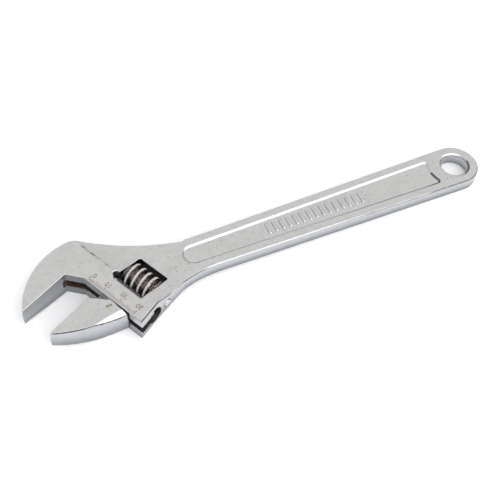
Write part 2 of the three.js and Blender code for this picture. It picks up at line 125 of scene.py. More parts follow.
class Outline:
    """A closed outline drawn with lines, arcs and quadratic curves."""

    STEP = 0.45

    def __init__(self, *start: Point) -> None:
        """Start at one point, or with a run of straight lines."""
        self.points: list[Point] = list(start)

    def line(self, *points: Point) -> "Outline":
        """Go on in straight lines through some points."""
        self.points.extend(points)
        return self

    def arc(self, centre: Point, radius: float, start: float, end: float) -> "Outline":
        """Add an arc.

        Args:
            centre: The arc's centre.
            radius: Its radius.
            start: Angle that it starts at, in radians.
            end: Angle that it ends at; a smaller angle than start turns clockwise.

        Returns:
            The outline itself.
        """
        count = max(6, math.ceil(abs(end - start) * radius / self.STEP))
        for angle in np.linspace(start, end, count + 1):
            x = centre[0] + radius * math.cos(angle)
            self.points.append((x, centre[1] + radius * math.sin(angle)))
        return self

    def curve(self, corner: Point, end: Point) -> "Outline":
        """Add a quadratic curve from the last point.

        Args:
            corner: The corner that it bends towards.
            end: The point that it ends at.

        Returns:
            The outline itself.
        """
        start = self.points[-1]
        count = max(6, math.ceil(math.dist(start, end) / self.STEP))
        for t in np.linspace(0, 1, count + 1)[1:]:
            weights = ((1 - t) ** 2, 2 * t * (1 - t), t**2)
            x, y = (
                sum(w * p[axis] for w, p in zip(weights, (start, corner, end))) for axis in (0, 1)
            )
            self.points.append((x, y))
        return self

    def grown(self, offset: float) -> np.ndarray:
        """Move every point square to the outline.

        Args:
            offset: Distance outwards; a negative one shrinks the outline.

        Returns:
            The moved points, one row each.
        """
        points = self._without_repeats()
        ahead = np.roll(points, -1, axis=0) - points
        normals = np.stack([ahead[:, 1], -ahead[:, 0]], axis=1)
        normals /= np.linalg.norm(normals, axis=1, keepdims=True)
        if self._area(points) < 0:
            normals = -normals
        before = np.roll(normals, 1, axis=0)
        both = 1 + np.sum(normals * before, axis=1, keepdims=True)
        return points + offset * (normals + before) / np.maximum(both, 0.35)

    def _without_repeats(self) -> np.ndarray:
        """Give the points with repeated neighbours left out."""
        points = np.array(self.points, float)
        gap = np.linalg.norm(points - np.roll(points, 1, axis=0), axis=1)
        return points[gap > 1e-5]

    @staticmethod
    def _area(points: np.ndarray) -> float:
        """Give the signed area inside some points."""
        following = np.roll(points, -1, axis=0)
        return float(np.sum(points[:, 0] * following[:, 1] - points[:, 1] * following[:, 0])) / 2


def rectangle(left: float, right: float, bottom: float, top: float) -> Outline:
    """Draw an upright rectangle between its four sides."""
    return Outline((left, bottom), (right, bottom), (right, top), (left, top))


def circle(centre: Point, radius: float) -> Outline:
    """Draw a circle."""
    return Outline().arc(centre, radius, 0, FULL_TURN * (1 - 1e-6))


def rounded_rectangle(
    left: float, right: float, bottom: float, top: float, radius: float
) -> Outline:
    """Draw a rectangle with round corners.

    Args:
        left: Its left side.
        right: Its right side.
        bottom: Its lower side.
        top: Its upper side.
        radius: Radius of its corners.

    Returns:
        The outline.
    """
    quarter = math.pi / 2
    outline = Outline().arc((right - radius, bottom + radius), radius, -quarter, 0)
    outline.arc((right - radius, top - radius), radius, 0, quarter)
    outline.arc((left + radius, top - radius), radius, quarter, 2 * quarter)
    return outline.arc((left + radius, bottom + radius), radius, 2 * quarter, 3 * quarter)


class Solid:
    """A closed mesh in the head's frame, in millimetres, that can be joined and cut."""

    def __init__(self, vertices: Sequence[Any], faces: Sequence[Sequence[int]]) -> None:
        """Make the mesh and turn its faces outwards.

        Args:
            vertices: Its corners, in millimetres.
            faces: The corners of each face, by number.
        """
        mesh = bpy.data.meshes.new("solid")
        mesh.from_pydata([tuple(v) for v in vertices], [], faces)
        work = bmesh.new()
        work.from_mesh(mesh)
        bmesh.ops.remove_doubles(work, verts=work.verts, dist=1e-5)
        bmesh.ops.recalc_face_normals(work, faces=work.faces)
        work.to_mesh(mesh)
        work.free()
        self.object = bpy.data.objects.new("solid", mesh)
        bpy.context.scene.collection.objects.link(self.object)

    @classmethod
    def layered(
        cls, outline: Outline, levels: Sequence[Point], run: Run = Run.UP
    ) -> "Solid":
        """Draw an outline out into a solid, grown or shrunk at each level.

        Args:
            outline: The outline.
            levels: Each level's height and how far the outline is grown there.
            run: The direction in which the heights run.

        Returns:
            The solid.
        """
        rings = [(height, outline.grown(offset)) for height, offset in levels]
        count = len(rings[0][1])
        vertices = [
            (x, y, height) if run is Run.UP else (x, height, y)
            for height, ring in rings
            for x, y in ring
        ]
        faces: list[Sequence[int]] = [range(count)]
        for level in range(len(rings) - 1):
            low, high = level * count, (level + 1) * count
            for index in range(count):
                after = (index + 1) % count
                faces.append((low + index, low + after, high + after, high + index))
        faces.append(range(count * (len(rings) - 1), count * len(rings)))
        return cls(vertices, [tuple(face) for face in faces])

    @classmethod
    def prism(
        cls, outline: Outline, low: float, high: float, run: Run = Run.UP
    ) -> "Solid":
        """Draw an outline straight out between two levels."""
        return cls.layered(outline, [(low, 0), (high, 0)], run)

    @classmethod
    def turned(cls, profile: Sequence[Point], segments: int = 96) -> "Solid":
        """Turn a profile round the worm's axis.

        Args:
            profile: Radius and place along V of each corner, the first and last on the axis.
            segments: Facets round the axis.

        Returns:
            The solid.
        """
        angles = np.arange(segments) * FULL_TURN / segments
        vertices = [
            (radius * math.sin(angle), v, radius * math.cos(angle))
            for radius, v in profile
            for angle in angles
        ]
        faces = []
        for ring in range(len(profile) - 1):
            for index in range(segments):
                after = (index + 1) % segments
                low, high = ring * segments, (ring + 1) * segments
                faces.append((low + index, low + after, high + after, high + index))
        return cls(vertices, faces)

    def combine(self, how: Combine, *others: "Solid") -> "Solid":
        """Join this solid with others, cut them from it, or keep what it shares with them.

        Args:
            how: What is done.
            others: The other solids, which are used up.

        Returns:
            This solid.
        """
        for other in others:
            modifier = self.object.modifiers.new("combine", "BOOLEAN")
            modifier.operation = how.value
            modifier.solver = "MANIFOLD"
            modifier.object = other.object
            self.settle()
            other.discard()
        return self

    def moved(self, matrix: Matrix) -> "Solid":
        """Move, turn or shear the solid."""
        self.object.data.transform(matrix)
        return self

    def settle(self) -> None:
        """Turn the modifiers' result into the mesh itself."""
        graph = bpy.context.evaluated_depsgraph_get()
        graph.update()
        shaped = bpy.data.meshes.new_from_object(self.object.evaluated_get(graph))
        old = self.object.data
        self.object.modifiers.clear()
        self.object.data = shaped
        bpy.data.meshes.remove(old)

    def discard(self) -> None:
        """Delete the solid."""
        mesh = self.object.data
        bpy.data.objects.remove(self.object)
        bpy.data.meshes.remove(mesh)

    def remeshed(self, grid: float, easing: int) -> "Solid":
        """Rebuild the surface as a fine even grid and ease its edges.

        Args:
            grid: Size of the grid.
            easing: Rounds of smoothing; more of them give rounder edges.

        Returns:
            This solid, with an attribute edge: above 0.5 on outward edges, below it in
            inward corners.
        """
        modifier = self.object.modifiers.new("grid", "REMESH")
        modifier.mode = "VOXEL"
        modifier.voxel_size = grid
        modifier.adaptivity = 0
        self.settle()
        sharp = self.positions()
        modifier = self.object.modifiers.new("ease", "SMOOTH")
        modifier.factor = 0.5
        modifier.iterations = easing
        self.settle()
        drawn_in = np.sum((sharp - self.positions()) * self.normals(), axis=1)
        self.mark("edge", np.clip(0.5 + drawn_in / (1.2 * grid), 0, 1))
        return self

    def positions(self) -> np.ndarray:
        """Give the vertices, one row each."""
        flat = np.empty(len(self.object.data.vertices) * 3)
        self.object.data.vertices.foreach_get("co", flat)
        return flat.reshape(-1, 3)

    def normals(self) -> np.ndarray:
        """Give the vertices' normals, one row each."""
        flat = np.empty(len(self.object.data.vertices) * 3)
        self.object.data.vertex_normals.foreach_get("vector", flat)
        return flat.reshape(-1, 3)

    def place(self, positions: np.ndarray) -> None:
        """Move every vertex to a new place."""
        self.object.data.vertices.foreach_set("co", positions.ravel())
        self.object.data.update()

    def mark(self, name: str, values: np.ndarray) -> None:
        """Store a value at each vertex, for the finish to read."""
        layer = self.object.data.attributes.new(name, "FLOAT", "POINT")
        layer.data.foreach_set("value", np.asarray(values, np.float32))

    def unevenness(self, size: float, depth: float, seed: float) -> "Solid":
        """Add the slight waviness of a forged and polished surface.

        Args:
            size: Length of the waves.
            depth: Their height.
            seed: Shifts the pattern, so that pieces differ.

        Returns:
            This solid.
        """
        shift = Vector((seed, -seed, 2 * seed))
        positions = self.positions()
        waves = np.array([noise.noise(Vector(p) / size + shift) for p in positions])
        self.place(positions + self.normals() * (depth * waves)[:, None])
        return self

    def piece(self, name: str, body: BodyName, slot: str, finish: "Finish") -> bpy.types.Object:
        """Put the solid in the row's frame as a finished piece.

        Args:
            name: The piece's name.
            body: The body that it rides on.
            slot: The record's material slot; not used.
            finish: The surface finish.

        Returns:
            The piece.
        """
        made = self.object
        made.name = name
        made.data.name = name
        made.data.transform(HEAD.to_row)
        made.data.shade_smooth()
        made.data.materials.clear()
        made.data.materials.append(finish.material())
        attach(made, body.value)
        log.info("%s: %d faces, rides on %s", name, len(made.data.polygons), body.value)
        return made


def smooth_step(values: np.ndarray, low: float, high: float) -> np.ndarray:
    """Rise smoothly from 0 at low to 1 at high."""
    t = np.clip((values - low) / (high - low), 0, 1)
    return t * t * (3 - 2 * t)


def rounded_edge(facing_up: np.ndarray, lowest: float, highest: float) -> np.ndarray:
    """Give 1 where the surface turns over an upper edge.

    Args:
        facing_up: Upward part of the normals.
        lowest: The least of it that counts.
        highest: The most of it that counts.

    Returns:
        A value from 0 to 1 for each place.
    """
    not_upright = smooth_step(facing_up, lowest, lowest + 0.15)
    not_level = smooth_step(-facing_up, -highest, 0.04 - highest)
    return not_upright * not_level


# ---- Finishes ------------------------------------------------------------------------


class Value:
    """A number socket of a shader, for use in ordinary expressions."""

    def __init__(self, shader: "Shader", socket: bpy.types.NodeSocket) -> None:
        """Wrap a socket."""
        self.shader = shader
        self.socket = socket

    def _with(self, operation: str, first: Any, second: Any = 0.0) -> "Value":
        """Add a Math node."""
        made = self.shader.node(
            "ShaderNodeMath", {"operation": operation}, {0: first, 1: second}
        )
        return Value(self.shader, made.outputs[0])

    def __add__(self, other: Any) -> "Value":
        """Add."""
        return self._with("ADD", self, other)

    def __radd__(self, other: Any) -> "Value":
        """Add, from the right."""
        return self._with("ADD", other, self)

    def __sub__(self, other: Any) -> "Value":
        """Subtract."""
        return self._with("SUBTRACT", self, other)

    def __rsub__(self, other: Any) -> "Value":
        """Subtract from something."""
        return self._with("SUBTRACT", other, self)

    def __mul__(self, other: Any) -> "Value":
        """Multiply."""
        return self._with("MULTIPLY", self, other)

    def __rmul__(self, other: Any) -> "Value":
        """Multiply, from the right."""
        return self._with("MULTIPLY", other, self)

    def between(self, low: float, high: float) -> "Value":
        """Rise smoothly from 0 at low to 1 at high."""
        made = self.shader.node(
            "ShaderNodeMapRange",
            {"interpolation_type": "SMOOTHSTEP"},
            {"Value": self, "From Min": low, "From Max": high},
        )
        return Value(self.shader, made.outputs["Result"])


class Shader:
    """Builds the nodes of one material or of the world."""

    def __init__(self, owner: bpy.types.Material | bpy.types.World) -> None:
        """Start with no nodes."""
        self.owner = owner
        owner.use_nodes = True
        self.tree = owner.node_tree
        self.tree.nodes.clear()

    def node(
        self,
        kind: str,
        settings: dict[str, Any] | None = None,
        sockets: dict[Any, Any] | None = None,
    ) -> bpy.types.Node:
        """Add a node.

        Args:
            kind: The node's type.
            settings: Its own settings, set first.
            sockets: Values or links of its sockets, by name or number.

        Returns:
            The node.
        """
        made = self.tree.nodes.new(kind)
        for key, value in (settings or {}).items():
            setattr(made, key, value)
        for key, value in (sockets or {}).items():
            source = value.socket if isinstance(value, Value) else value
            if isinstance(source, bpy.types.NodeSocket):
                self.tree.links.new(source, made.inputs[key])
            else:
                made.inputs[key].default_value = source
        return made

    def millimetres(self, stretch: Colour = (1, 1, 1)) -> bpy.types.NodeSocket:
        """Give the place on the piece, in millimetres, stretched along its axes."""
        place = self.node("ShaderNodeTexCoord").outputs["Object"]
        scale = tuple(1000 * part for part in stretch)
        made = self.node("ShaderNodeVectorMath", {"operation": "MULTIPLY"}, {0: place, 1: scale})
        return made.outputs[0]

    def grain(
        self, size: float, detail: float = 3.0, stretch: Colour = (1, 1, 1)
    ) -> Value:
        """Give a cloudy pattern from 0 to 1.

        Args:
            size: Size of its features, in millimetres.
            detail: How many finer patterns are laid over it.
            stretch: How far the pattern is squeezed along each axis.

        Returns:
            The pattern.
        """
        made = self.node(
            "ShaderNodeTexNoise",
            {"noise_dimensions": "3D"},
            {"Vector": self.millimetres(stretch), "Scale": 1 / size, "Detail": detail},
        )
        return Value(self, made.outputs["Fac"])

    def pits(self, size: float) -> Value:
        """Give 0 at scattered points and more between them."""
        made = self.node(
            "ShaderNodeTexVoronoi",
            {"feature": "F1"},
            {"Vector": self.millimetres(), "Scale": 1 / size, "Randomness": 1.0},
        )
        return Value(self, made.outputs["Distance"])

    def stored(self, name: str) -> Value:
        """Read a value stored at the vertices."""
        made = self.node("ShaderNodeAttribute", {"attribute_name": name})
        return Value(self, made.outputs["Fac"])

    def facing_up(self) -> Value:
        """Give 1 on level faces and 0 on upright ones."""
        normal = self.node("ShaderNodeTexCoord").outputs["Normal"]
        split = self.node("ShaderNodeSeparateXYZ", None, {0: normal})
        height = Value(self, split.outputs[2])
        return height * height

    def blend(self, factor: Any, first: Any, second: Any) -> bpy.types.NodeSocket:
        """Blend two colours.

        Args:
            factor: 0 for the first colour, 1 for the second.
            first: A colour or a colour socket.
            second: A colour or a colour socket.

        Returns:
            The blended colour's socket.
        """
        paints = [(*c, 1.0) if isinstance(c, tuple) else c for c in (first, second)]
        made = self.node(
            "ShaderNodeMix",
            {"data_type": "RGBA"},
            {"Factor": factor, 6: paints[0], 7: paints[1]},
        )
        return made.outputs[2]

    def bump(self, height: Value, depth: float, below: Any = None) -> bpy.types.NodeSocket:
        """Raise the surface by a pattern.

        Args:
            height: The pattern.
            depth: Height of a full step of the pattern, in millimetres.
            below: Normal of an earlier bump, if there is one.

        Returns:
            The normal's socket.
        """
        sockets = {"Strength": 1.0, "Distance": depth * MM, "Height": height}
        if below is not None:
            sockets["Normal"] = below
        return self.node("ShaderNodeBump", None, sockets).outputs[0]

    def surface(self, sockets: dict[str, Any]) -> bpy.types.Material:
        """Finish the material with its main shader."""
        main = self.node("ShaderNodeBsdfPrincipled", None, sockets)
        self.node("ShaderNodeOutputMaterial", None, {"Surface": main.outputs[0]})
        return self.owner


@dataclass(frozen=True)
class Finish:
    """A surface finish that makes its own material."""

    name: str

    def material(self) -> bpy.types.Material:
        """Make the material, or give the one already made."""
        made = bpy.data.materials.get(self.name)
        return made or self.build(Shader(bpy.data.materials.new(self.name)))

    def build(self, shader: Shader) -> bpy.types.Material:
        """Make the nodes."""
        raise NotImplementedError


@dataclass(frozen=True)
class ForgedChrome(Finish):
    """Satin chrome over a forging: polished flats; sides darker and bluer, partly as-forged and
    partly a painted reflection, with painted shade towards their bottom; recesses with staining and
    painted dark as shade.
    """

    flat: Colour = (0.745, 0.74, 0.725)
    # Sides: darker and bluer than the flats, partly an as-forged finish and partly a painted
    # reflection of darker surroundings.
    side: Colour = (0.54, 0.552, 0.578)
    # Painted shade, towards the bottom of the sides and in the mouth.
    under: Colour = (0.17, 0.178, 0.195)
    # The bar end's pale colour: partly uncoated steel and partly a painted highlight.
    bright: Colour = (0.80, 0.785, 0.75)
    # A painted dark line along edges, standing in for a dark reflection, and painted shade at the
    # jaw's gap.
    line: Colour = (0.05, 0.05, 0.055)
    # Near black: partly staining and partly painted shade inside the slide's slot and bore.
    shade_and_stain: Colour = (0.022, 0.015, 0.011)
    copper: Colour = (0.34, 0.20, 0.10)
    # Painted shade, near black, on the window's walls.
    window_shade: Colour = (0.012, 0.011, 0.012)
    rust: Colour = (0.22, 0.14, 0.10)
    haze: Colour = (0.34, 0.33, 0.31)
    polish: Colour = (0.94, 0.95, 0.96)
    lightened: Colour = (0.93, 0.93, 0.93)
    corner_dark: Colour = (0.08, 0.07, 0.06)
    pit: Colour = (0.13, 0.10, 0.085)
    smoothest: float = 0.2

    def plating(self, shader: Shader, clouds: Value, mottle: Value) -> bpy.types.NodeSocket:
        """Give the plating's colour, with painted shade towards the bottom of the sides and in the
        mouth.

        Args:
            shader: The material's nodes.
            clouds: The widest pattern.
            mottle: A finer one.

        Returns:
            The colour's socket.
        """
        level = shader.facing_up().between(0.25, 0.85)
        # Painted shade: the sides darken towards their bottom, by the stored under value.
        low = shader.stored("under").between(0.2, 1.0)
        sides = shader.blend(low * (0.75 + 0.25 * mottle), self.side, self.under)
        # Flats lighter than the sides: partly the sides' as-forged finish, partly a painted
        # reflection on the sides.
        plated = shader.blend(level, sides, self.flat)
        cloud = clouds.between(0.35, 0.75) * 0.10 + mottle.between(0.42, 0.75) * 0.16
        clouded = shader.blend(cloud, plated, self.haze)
        streak = shader.grain(0.9, 3.0, (0.25, 0.9, 1)).between(0.56, 0.75)
        return shader.blend(streak * level * 0.14, clouded, self.polish)

    def wear(self, shader: Shader, colour: bpy.types.NodeSocket) -> bpy.types.NodeSocket:
        """Lighten the outward edges, darken the inward corners and pit the level faces.

        Args:
            shader: The material's nodes.
            colour: Colour of the plating.

        Returns:
            The worn colour's socket.
        """
        level = shader.facing_up().between(0.25, 0.85)
        edge = shader.stored("edge")
        pit = 1 - shader.pits(4.5).between(0.03, 0.12)
        # Outward edges made lighter and inward corners darker.
        lightened = shader.blend(edge.between(0.60, 0.95) * 0.55, colour, self.lightened)
        corners_darkened = shader.blend((1 - edge).between(0.62, 0.95) * 0.75, lightened, self.corner_dark)
        return shader.blend(pit * level * 0.6, corners_darkened, self.pit)

    def build(self, shader: Shader) -> bpy.types.Material:
        """Make the nodes."""
        clouds = shader.grain(9.0, 4.0)
        mottle = shader.grain(2.6, 4.0)
        peel = shader.grain(1.3, 2.0)
        fine = shader.grain(0.28, 2.0)
        worn = self.wear(shader, self.plating(shader, clouds, mottle))
        # Painted dark reflection along the edges.
        lined = shader.stored("line") * (0.55 + 0.9 * peel)
        edged = shader.blend(lined, worn, self.line)
        broken = shader.grain(3.0, 3.0).between(0.36, 0.58)
        creased = shader.blend(shader.stored("crease") * (0.15 + broken), edged, self.rust)
        sparkle = fine.between(0.46, 0.58) * peel.between(0.40, 0.56)
        # Staining and painted shade inside the slide, with copper flecks towards the mouth.
        shade_and_copper = shader.blend(sparkle * shader.stored("mouth") * 0.9, self.shade_and_stain, self.copper)
        shaded_and_stained = shader.stored("slot")
        slot_darkened = shader.blend(shaded_and_stained * (0.9 + 0.1 * peel), creased, shade_and_copper)
        # Painted shade on the window's walls.
        window_shaded = shader.stored("window")
        # The bar's end, pale and less metallic: partly uncoated steel and partly a painted
        # highlight.
        bare_and_highlit = shader.stored("bare_and_highlit")
        colour = shader.blend(bare_and_highlit, shader.blend(window_shaded, slot_darkened, self.window_shade), self.bright)
        normal = shader.bump(mottle, 0.03)
        normal = shader.bump(peel, 0.02, normal)
        normal = shader.bump(fine, 0.006, normal)
        rough = self.smoothest + 0.10 * clouds + 0.08 * fine + 0.25 * shaded_and_stained + 0.2 * window_shaded
        return shader.surface({
            "Base Color": colour,
            "Metallic": 1 - 0.4 * shaded_and_stained - 0.7 * bare_and_highlit,
            "Roughness": rough + 0.15 * lined,
            "Normal": normal,
        })


@dataclass(frozen=True)
class WornThread(Finish):
    """Hardened worm: crests painted near white as a highlight, oily brown between them, roots
    painted near black as shade.
    """

    # Near white: a painted highlight on the thread's crests.
    crest: Colour = (0.93, 0.91, 0.89)
    flank: Colour = (0.13, 0.108, 0.104)
    film: Colour = (0.62, 0.55, 0.535)
    # Near black: painted shade deep in the thread's roots.
    root: Colour = (0.03, 0.025, 0.025)

    def build(self, shader: Shader) -> bpy.types.Material:
        """Make the nodes."""
        blotch = shader.grain(1.2, 4.0)
        fine = shader.grain(0.25, 2.0)
        # Painted highlight on the crests and painted shade in the roots.
        lightened = shader.stored("crest").between(0.3, 0.9)
        shallow = shader.stored("height").between(-0.1, 0.2)
        oily = shader.blend(blotch.between(0.36, 0.6), self.flank, self.film)
        deep = shader.blend(shallow, self.root, oily)
        colour = shader.blend(lightened * (0.8 + 0.2 * blotch), deep, self.crest)
        return shader.surface({
            "Base Color": colour,
            "Metallic": 1.0,
            "Roughness": 0.22 + 0.16 * blotch,
            "Normal": shader.bump(fine, 0.012),
        })


@dataclass(frozen=True)
class GroundSteel(Finish):
    """Bare steel with the fine marks of grinding or drawing."""

    tone: Colour = (0.62, 0.62, 0.62)
    dirt: Colour = (0.20, 0.17, 0.15)

    def build(self, shader: Shader) -> bpy.types.Material:
        """Make the nodes."""
        lines = shader.grain(0.35, 2.0, (1, 1, 6))
        blotch = shader.grain(2.2, 3.0)
        colour = shader.blend(blotch.between(0.45, 0.8) * 0.5, self.tone, self.dirt)
        return shader.surface({
            "Base Color": colour,
            "Metallic": 1.0,
            "Roughness": 0.26 + 0.2 * lines,
            "Normal": shader.bump(lines, 0.008),
        })


@dataclass(frozen=True)
class EtchedMark(Finish):
    """Copper-brown etched scale marks, worn unevenly."""

    tone: Colour = (0.24, 0.16, 0.125)
    worn: Colour = (0.50, 0.42, 0.37)

    def build(self, shader: Shader) -> bpy.types.Material:
        """Make the nodes."""
        wear = shader.grain(1.1, 3.0)
        return shader.surface({
            "Base Color": shader.blend(wear.between(0.35, 0.7), self.tone, self.worn),
            "Metallic": 0.7,
            "Roughness": 0.42 + 0.15 * wear,
            "Normal": shader.bump(wear, 0.01),
        })


# ---- Forged body ---------------------------------------------------------------------


PAST = 60.0
SKIN = 0.5


@dataclass
class Sizes:
    """Sizes that more than one piece follows, in millimetres."""

    half_head: float = 7.15
    half_tip: float = 5.25
    half_handle: float = 3.6
    front_face: float = -19.65
    jaw_depth: float = 30.9
    throat_depth: float = 4.5
    throat_height: float = 8.2
    fixed_face: float = 27.35
    opening: float = 18.0
    crease: float = -6.8
    slope_length: float = 18.4
    slope_bend: float = 0.37
    slope_sag: float = 1.0
    bar_radius: float = 3.8
    bar_u: float = -9.15
    bar_top: float = 10.4
    bar_length: float = 25.6
    web: float = 4.0
    web_drop: float = 1.4
    gap: float = 0.3
    end_gap: float = 0.8
    half_window: float = 9.35
    window_left: float = -9.85
    window_right: float = 8.65
    side: float = -16.4
    side_rise: float = 1.1
    side_length: float = 22.0
    corner_drop: float = 1.9
    corner_length: float = 13.0
    pin_radius: float = 2.0
    pin_seat: float = 6.0
    worm_radius: float = 7.1
    pitch: float = 4.0
    thread_depth: float = 2.1
    thread_crest: float = 1.2
    flank: float = math.radians(20)
    hand: int = 1
    phase: float = 0.25

    @property
    def jaw_tip(self) -> float:
        """Give the place of the jaws' tips along U."""
        return self.front_face - self.jaw_depth

    @property
    def throat(self) -> float:
        """Give the place of the throat's corner along U."""
        return self.front_face - self.throat_depth

    @property
    def moving_face(self) -> float:
        """Give the place of the movable jaw's face along V."""
        return self.fixed_face - self.opening

    def envelope(self) -> Solid:
        """Make the room for the thickness that head and jaws have."""
        foot = self.crease + self.slope_length
        bend = self.crease + self.slope_bend * self.slope_length
        taper = (self.half_head - self.half_tip) / (self.throat - self.jaw_tip)
        beyond = 3.0
        upper = Outline((self.jaw_tip - beyond, self.half_tip - beyond * taper))
        upper.line((self.throat, self.half_head), (self.crease, self.half_head))
        upper.curve((bend, self.half_handle + self.slope_sag), (foot, self.half_handle))
        upper.line((foot + 2 * PAST, self.half_handle))
        lower = [(u, -z) for u, z in reversed(upper.points)]
        upper.line(*lower)
        return Solid.prism(upper, -2 * PAST, 2 * PAST, Run.CLOSING)


def crowned(outline: Outline, half: float, crown: float, steps: int = 12) -> Solid:
    """Make a slab whose sides bulge at mid thickness.

    Args:
        outline: Its outline on the flat faces.
        half: Half its thickness.
        crown: How far the sides bulge.
        steps: Levels from one face to the other.

    Returns:
        The slab.
    """
    heights = [half * math.sin(math.pi / 2 * t) for t in np.linspace(-1, 1, steps + 1)]
    levels = [(z, crown * math.sqrt(max(0.0, 1 - (z / half) ** 2))) for z in heights]
    return Solid.layered(outline, levels)


@dataclass
class ForgedBody:
    """Handle, neck, head and fixed jaw, forged in one piece."""

    sizes: Sizes
    worm_from_hole: float = 185.2
    worm_off_axis: float = 5.3
    jaw_angle: float = math.radians(25)
    end_radius: float = 12.95
    neck_half: float = 10.45
    neck_x: float = -146.0
    neck_y: float = -0.9
    neck_inset: float = 3.2
    root_length: float = 28.0
    root_half: float = 5.0
    flare_u: float = 3.0
    flare_proud: float = 0.2
    back_blend: float = 26.0
    back_blend_drop: float = 1.7
    edge_radius: float = 0.6
    window_chamfer: float = 0.4
    window_corner: float = 0.8
    relief_inset: float = 2.7
    relief_radius: float = 1.9
    pin_gap: float = 0.05
    hole_radius: float = 7.5
    hole_chamfer: float = 0.8
    pocket_depth: float = 0.8
    pocket_flange: float = 4.7
    pocket_end: float = 14.8
    pocket_length: float = 146.8
    pocket_corner: float = 2.4
    crown: float = 0.9
    back_radius: float = 39.2
    back_u: float = -19.95
    back_end: float = -10.0
    grid: float = 0.22
    handle: Matrix = field(init=False)

    def __post_init__(self) -> None:
        """Work out where the handle's own frame is."""
        turn = Matrix.Rotation(self.jaw_angle, 4, "Z")
        shift = Matrix.Translation((-self.worm_from_hole, -self.worm_off_axis, 0))
        self.handle = (shift @ turn).inverted()

    def on_handle(self, x: float, y: float) -> Point:
        """Give a point of the handle's plan in the head's frame."""
        point = self.handle @ Vector((x, y, 0))
        return point.x, point.y

    def flare(self) -> tuple[Point, Point]:
        """Give where the handle starts to flow out of the head's side, and its corner.

        Returns:
            Both points, in the handle's own plan.
        """
        s = self.sizes
        slope = s.side_rise / s.side_length
        v = s.side - self.flare_proud + slope * (self.flare_u - s.front_face - s.corner_length)
        start = self.handle.inverted() @ Vector((self.flare_u, v, 0))
        corner_y = self.neck_y - self.neck_half
        run = (corner_y - start.y) / math.tan(self.jaw_angle + math.atan(slope))
        return (start.x, start.y), (start.x + run, corner_y)

    def handle_blank(self) -> Solid:
        """Make the handle's stock with its round edges."""
        taper = math.asin((self.end_radius - self.neck_half) / -self.neck_x)
        tangent = math.pi / 2 + taper
        root = self.neck_x - self.root_length
        start, corner = self.flare()
        outline = Outline((root, self.neck_y - self.root_half), start)
        outline.curve(corner, (self.neck_x, self.neck_y - self.neck_half))
        outline.arc((0, 0), self.end_radius, -tangent, tangent)
        outline.line(
            (self.neck_x, self.neck_y + self.neck_half),
            (self.neck_x - self.neck_half, self.neck_y + self.neck_half),
            (root, self.neck_y + self.root_half),
        )
        radius, half = self.edge_radius, self.sizes.half_handle
        angles = np.linspace(0, math.pi / 2, 8)
        rise = [
            (radius - half - radius * math.cos(a), radius * math.sin(a) - radius) for a in angles
        ]
        levels = rise + [(-z, inset) for z, inset in reversed(rise)]
        return Solid.layered(outline, levels).moved(self.handle)

    def pocket(self, face: int) -> Solid:
        """Make what is taken out for a pocket.

        Args:
            face: 1 for the upper face, -1 for the lower one.

        Returns:
            The solid to cut away.
        """
        end_half = self.end_radius - self.pocket_flange - self.pocket_depth
        neck_end = self.neck_half - self.pocket_flange - self.pocket_depth
        radius = self.pocket_end + self.pocket_depth
        spread = math.asin(end_half / radius)
        arc = spread - self.pocket_corner / radius
        round_x = self.neck_half - self.pocket_flange - self.pocket_end - self.pocket_length
        end_x = -radius * math.cos(spread)
        outline = Outline().arc((0, 0), radius, math.pi + arc, math.pi - arc)
        outline.curve((end_x, end_half), (end_x - self.pocket_corner, end_half))
        outline.arc((round_x, -face * -self.neck_y), neck_end, math.pi / 2, math.pi * 1.5)
        outline.line((end_x - self.pocket_corner, -end_half))
        outline.curve((end_x, -end_half), (-radius * math.cos(arc), -radius * math.sin(arc)))
        floor = self.sizes.half_handle - self.pocket_depth
        levels = [(floor, 0), (floor + self.pocket_depth + 1, self.pocket_depth + 1)]
        made = Solid.layered(outline, levels)
        if face < 0:
            made.moved(Matrix.Rotation(math.pi, 4, "X"))
        return made.moved(self.handle)

    def hang_hole(self) -> Solid:
        """Make what is taken out for the hang hole and its chamfers."""
        half, chamfer = self.sizes.half_handle, self.hole_chamfer
        levels = [
            (-half - 1, chamfer + 1), (chamfer - half, 0), (half - chamfer, 0),
            (half + 1, chamfer + 1),
        ]
        return Solid.layered(circle((0, 0), self.hole_radius), levels).moved(self.handle)

    def head_outline(self) -> Outline:
        """Draw the head's plan, with the mouth still filled."""
        s = self.sizes
        corner_end = s.front_face + s.corner_length
        hump_length, hump_drop, hump_bend = 5.1, 4.6, 1.5
        inside = self.neck_half - self.neck_inset
        back_v = s.fixed_face - math.sqrt(self.back_radius**2 - (s.jaw_tip - self.back_u) ** 2)
        tip_angle = math.atan2(s.fixed_face - back_v, s.jaw_tip - self.back_u)
        end_angle = math.acos((self.back_end - self.back_u) / self.back_radius)
        end_v = back_v + self.back_radius * math.sin(end_angle)
        outline = Outline(
            (s.jaw_tip, s.fixed_face),
            (s.jaw_tip, s.side - s.corner_drop),
            (s.front_face, s.side - s.corner_drop),
            (corner_end, s.side),
            (corner_end + s.side_length, s.side + s.side_rise),
            self.on_handle(self.neck_x, self.neck_y - inside),
            self.on_handle(self.neck_x, self.neck_y + inside),
        )
        blend_y = self.neck_y + self.neck_half - self.back_blend_drop
        outline.curve(
            self.on_handle(self.neck_x - self.back_blend, blend_y),
            (self.back_end + hump_length, end_v - hump_drop),
        )
        outline.curve(
            (self.back_end + hump_length - hump_bend, end_v - hump_bend), (self.back_end, end_v)
        )
        return outline.arc((self.back_u, back_v), self.back_radius, end_angle, tip_angle)

    def mouth(self) -> Solid:
        """Make what is taken out between the jaws."""
        s = self.sizes
        outline = Outline(
            (s.throat, s.fixed_face), (-2 * PAST, s.fixed_face), (-2 * PAST, -2 * PAST),
            (s.front_face, -2 * PAST), (s.front_face, s.fixed_face - s.throat_height),
        )
        return Solid.prism(outline, -PAST, PAST)

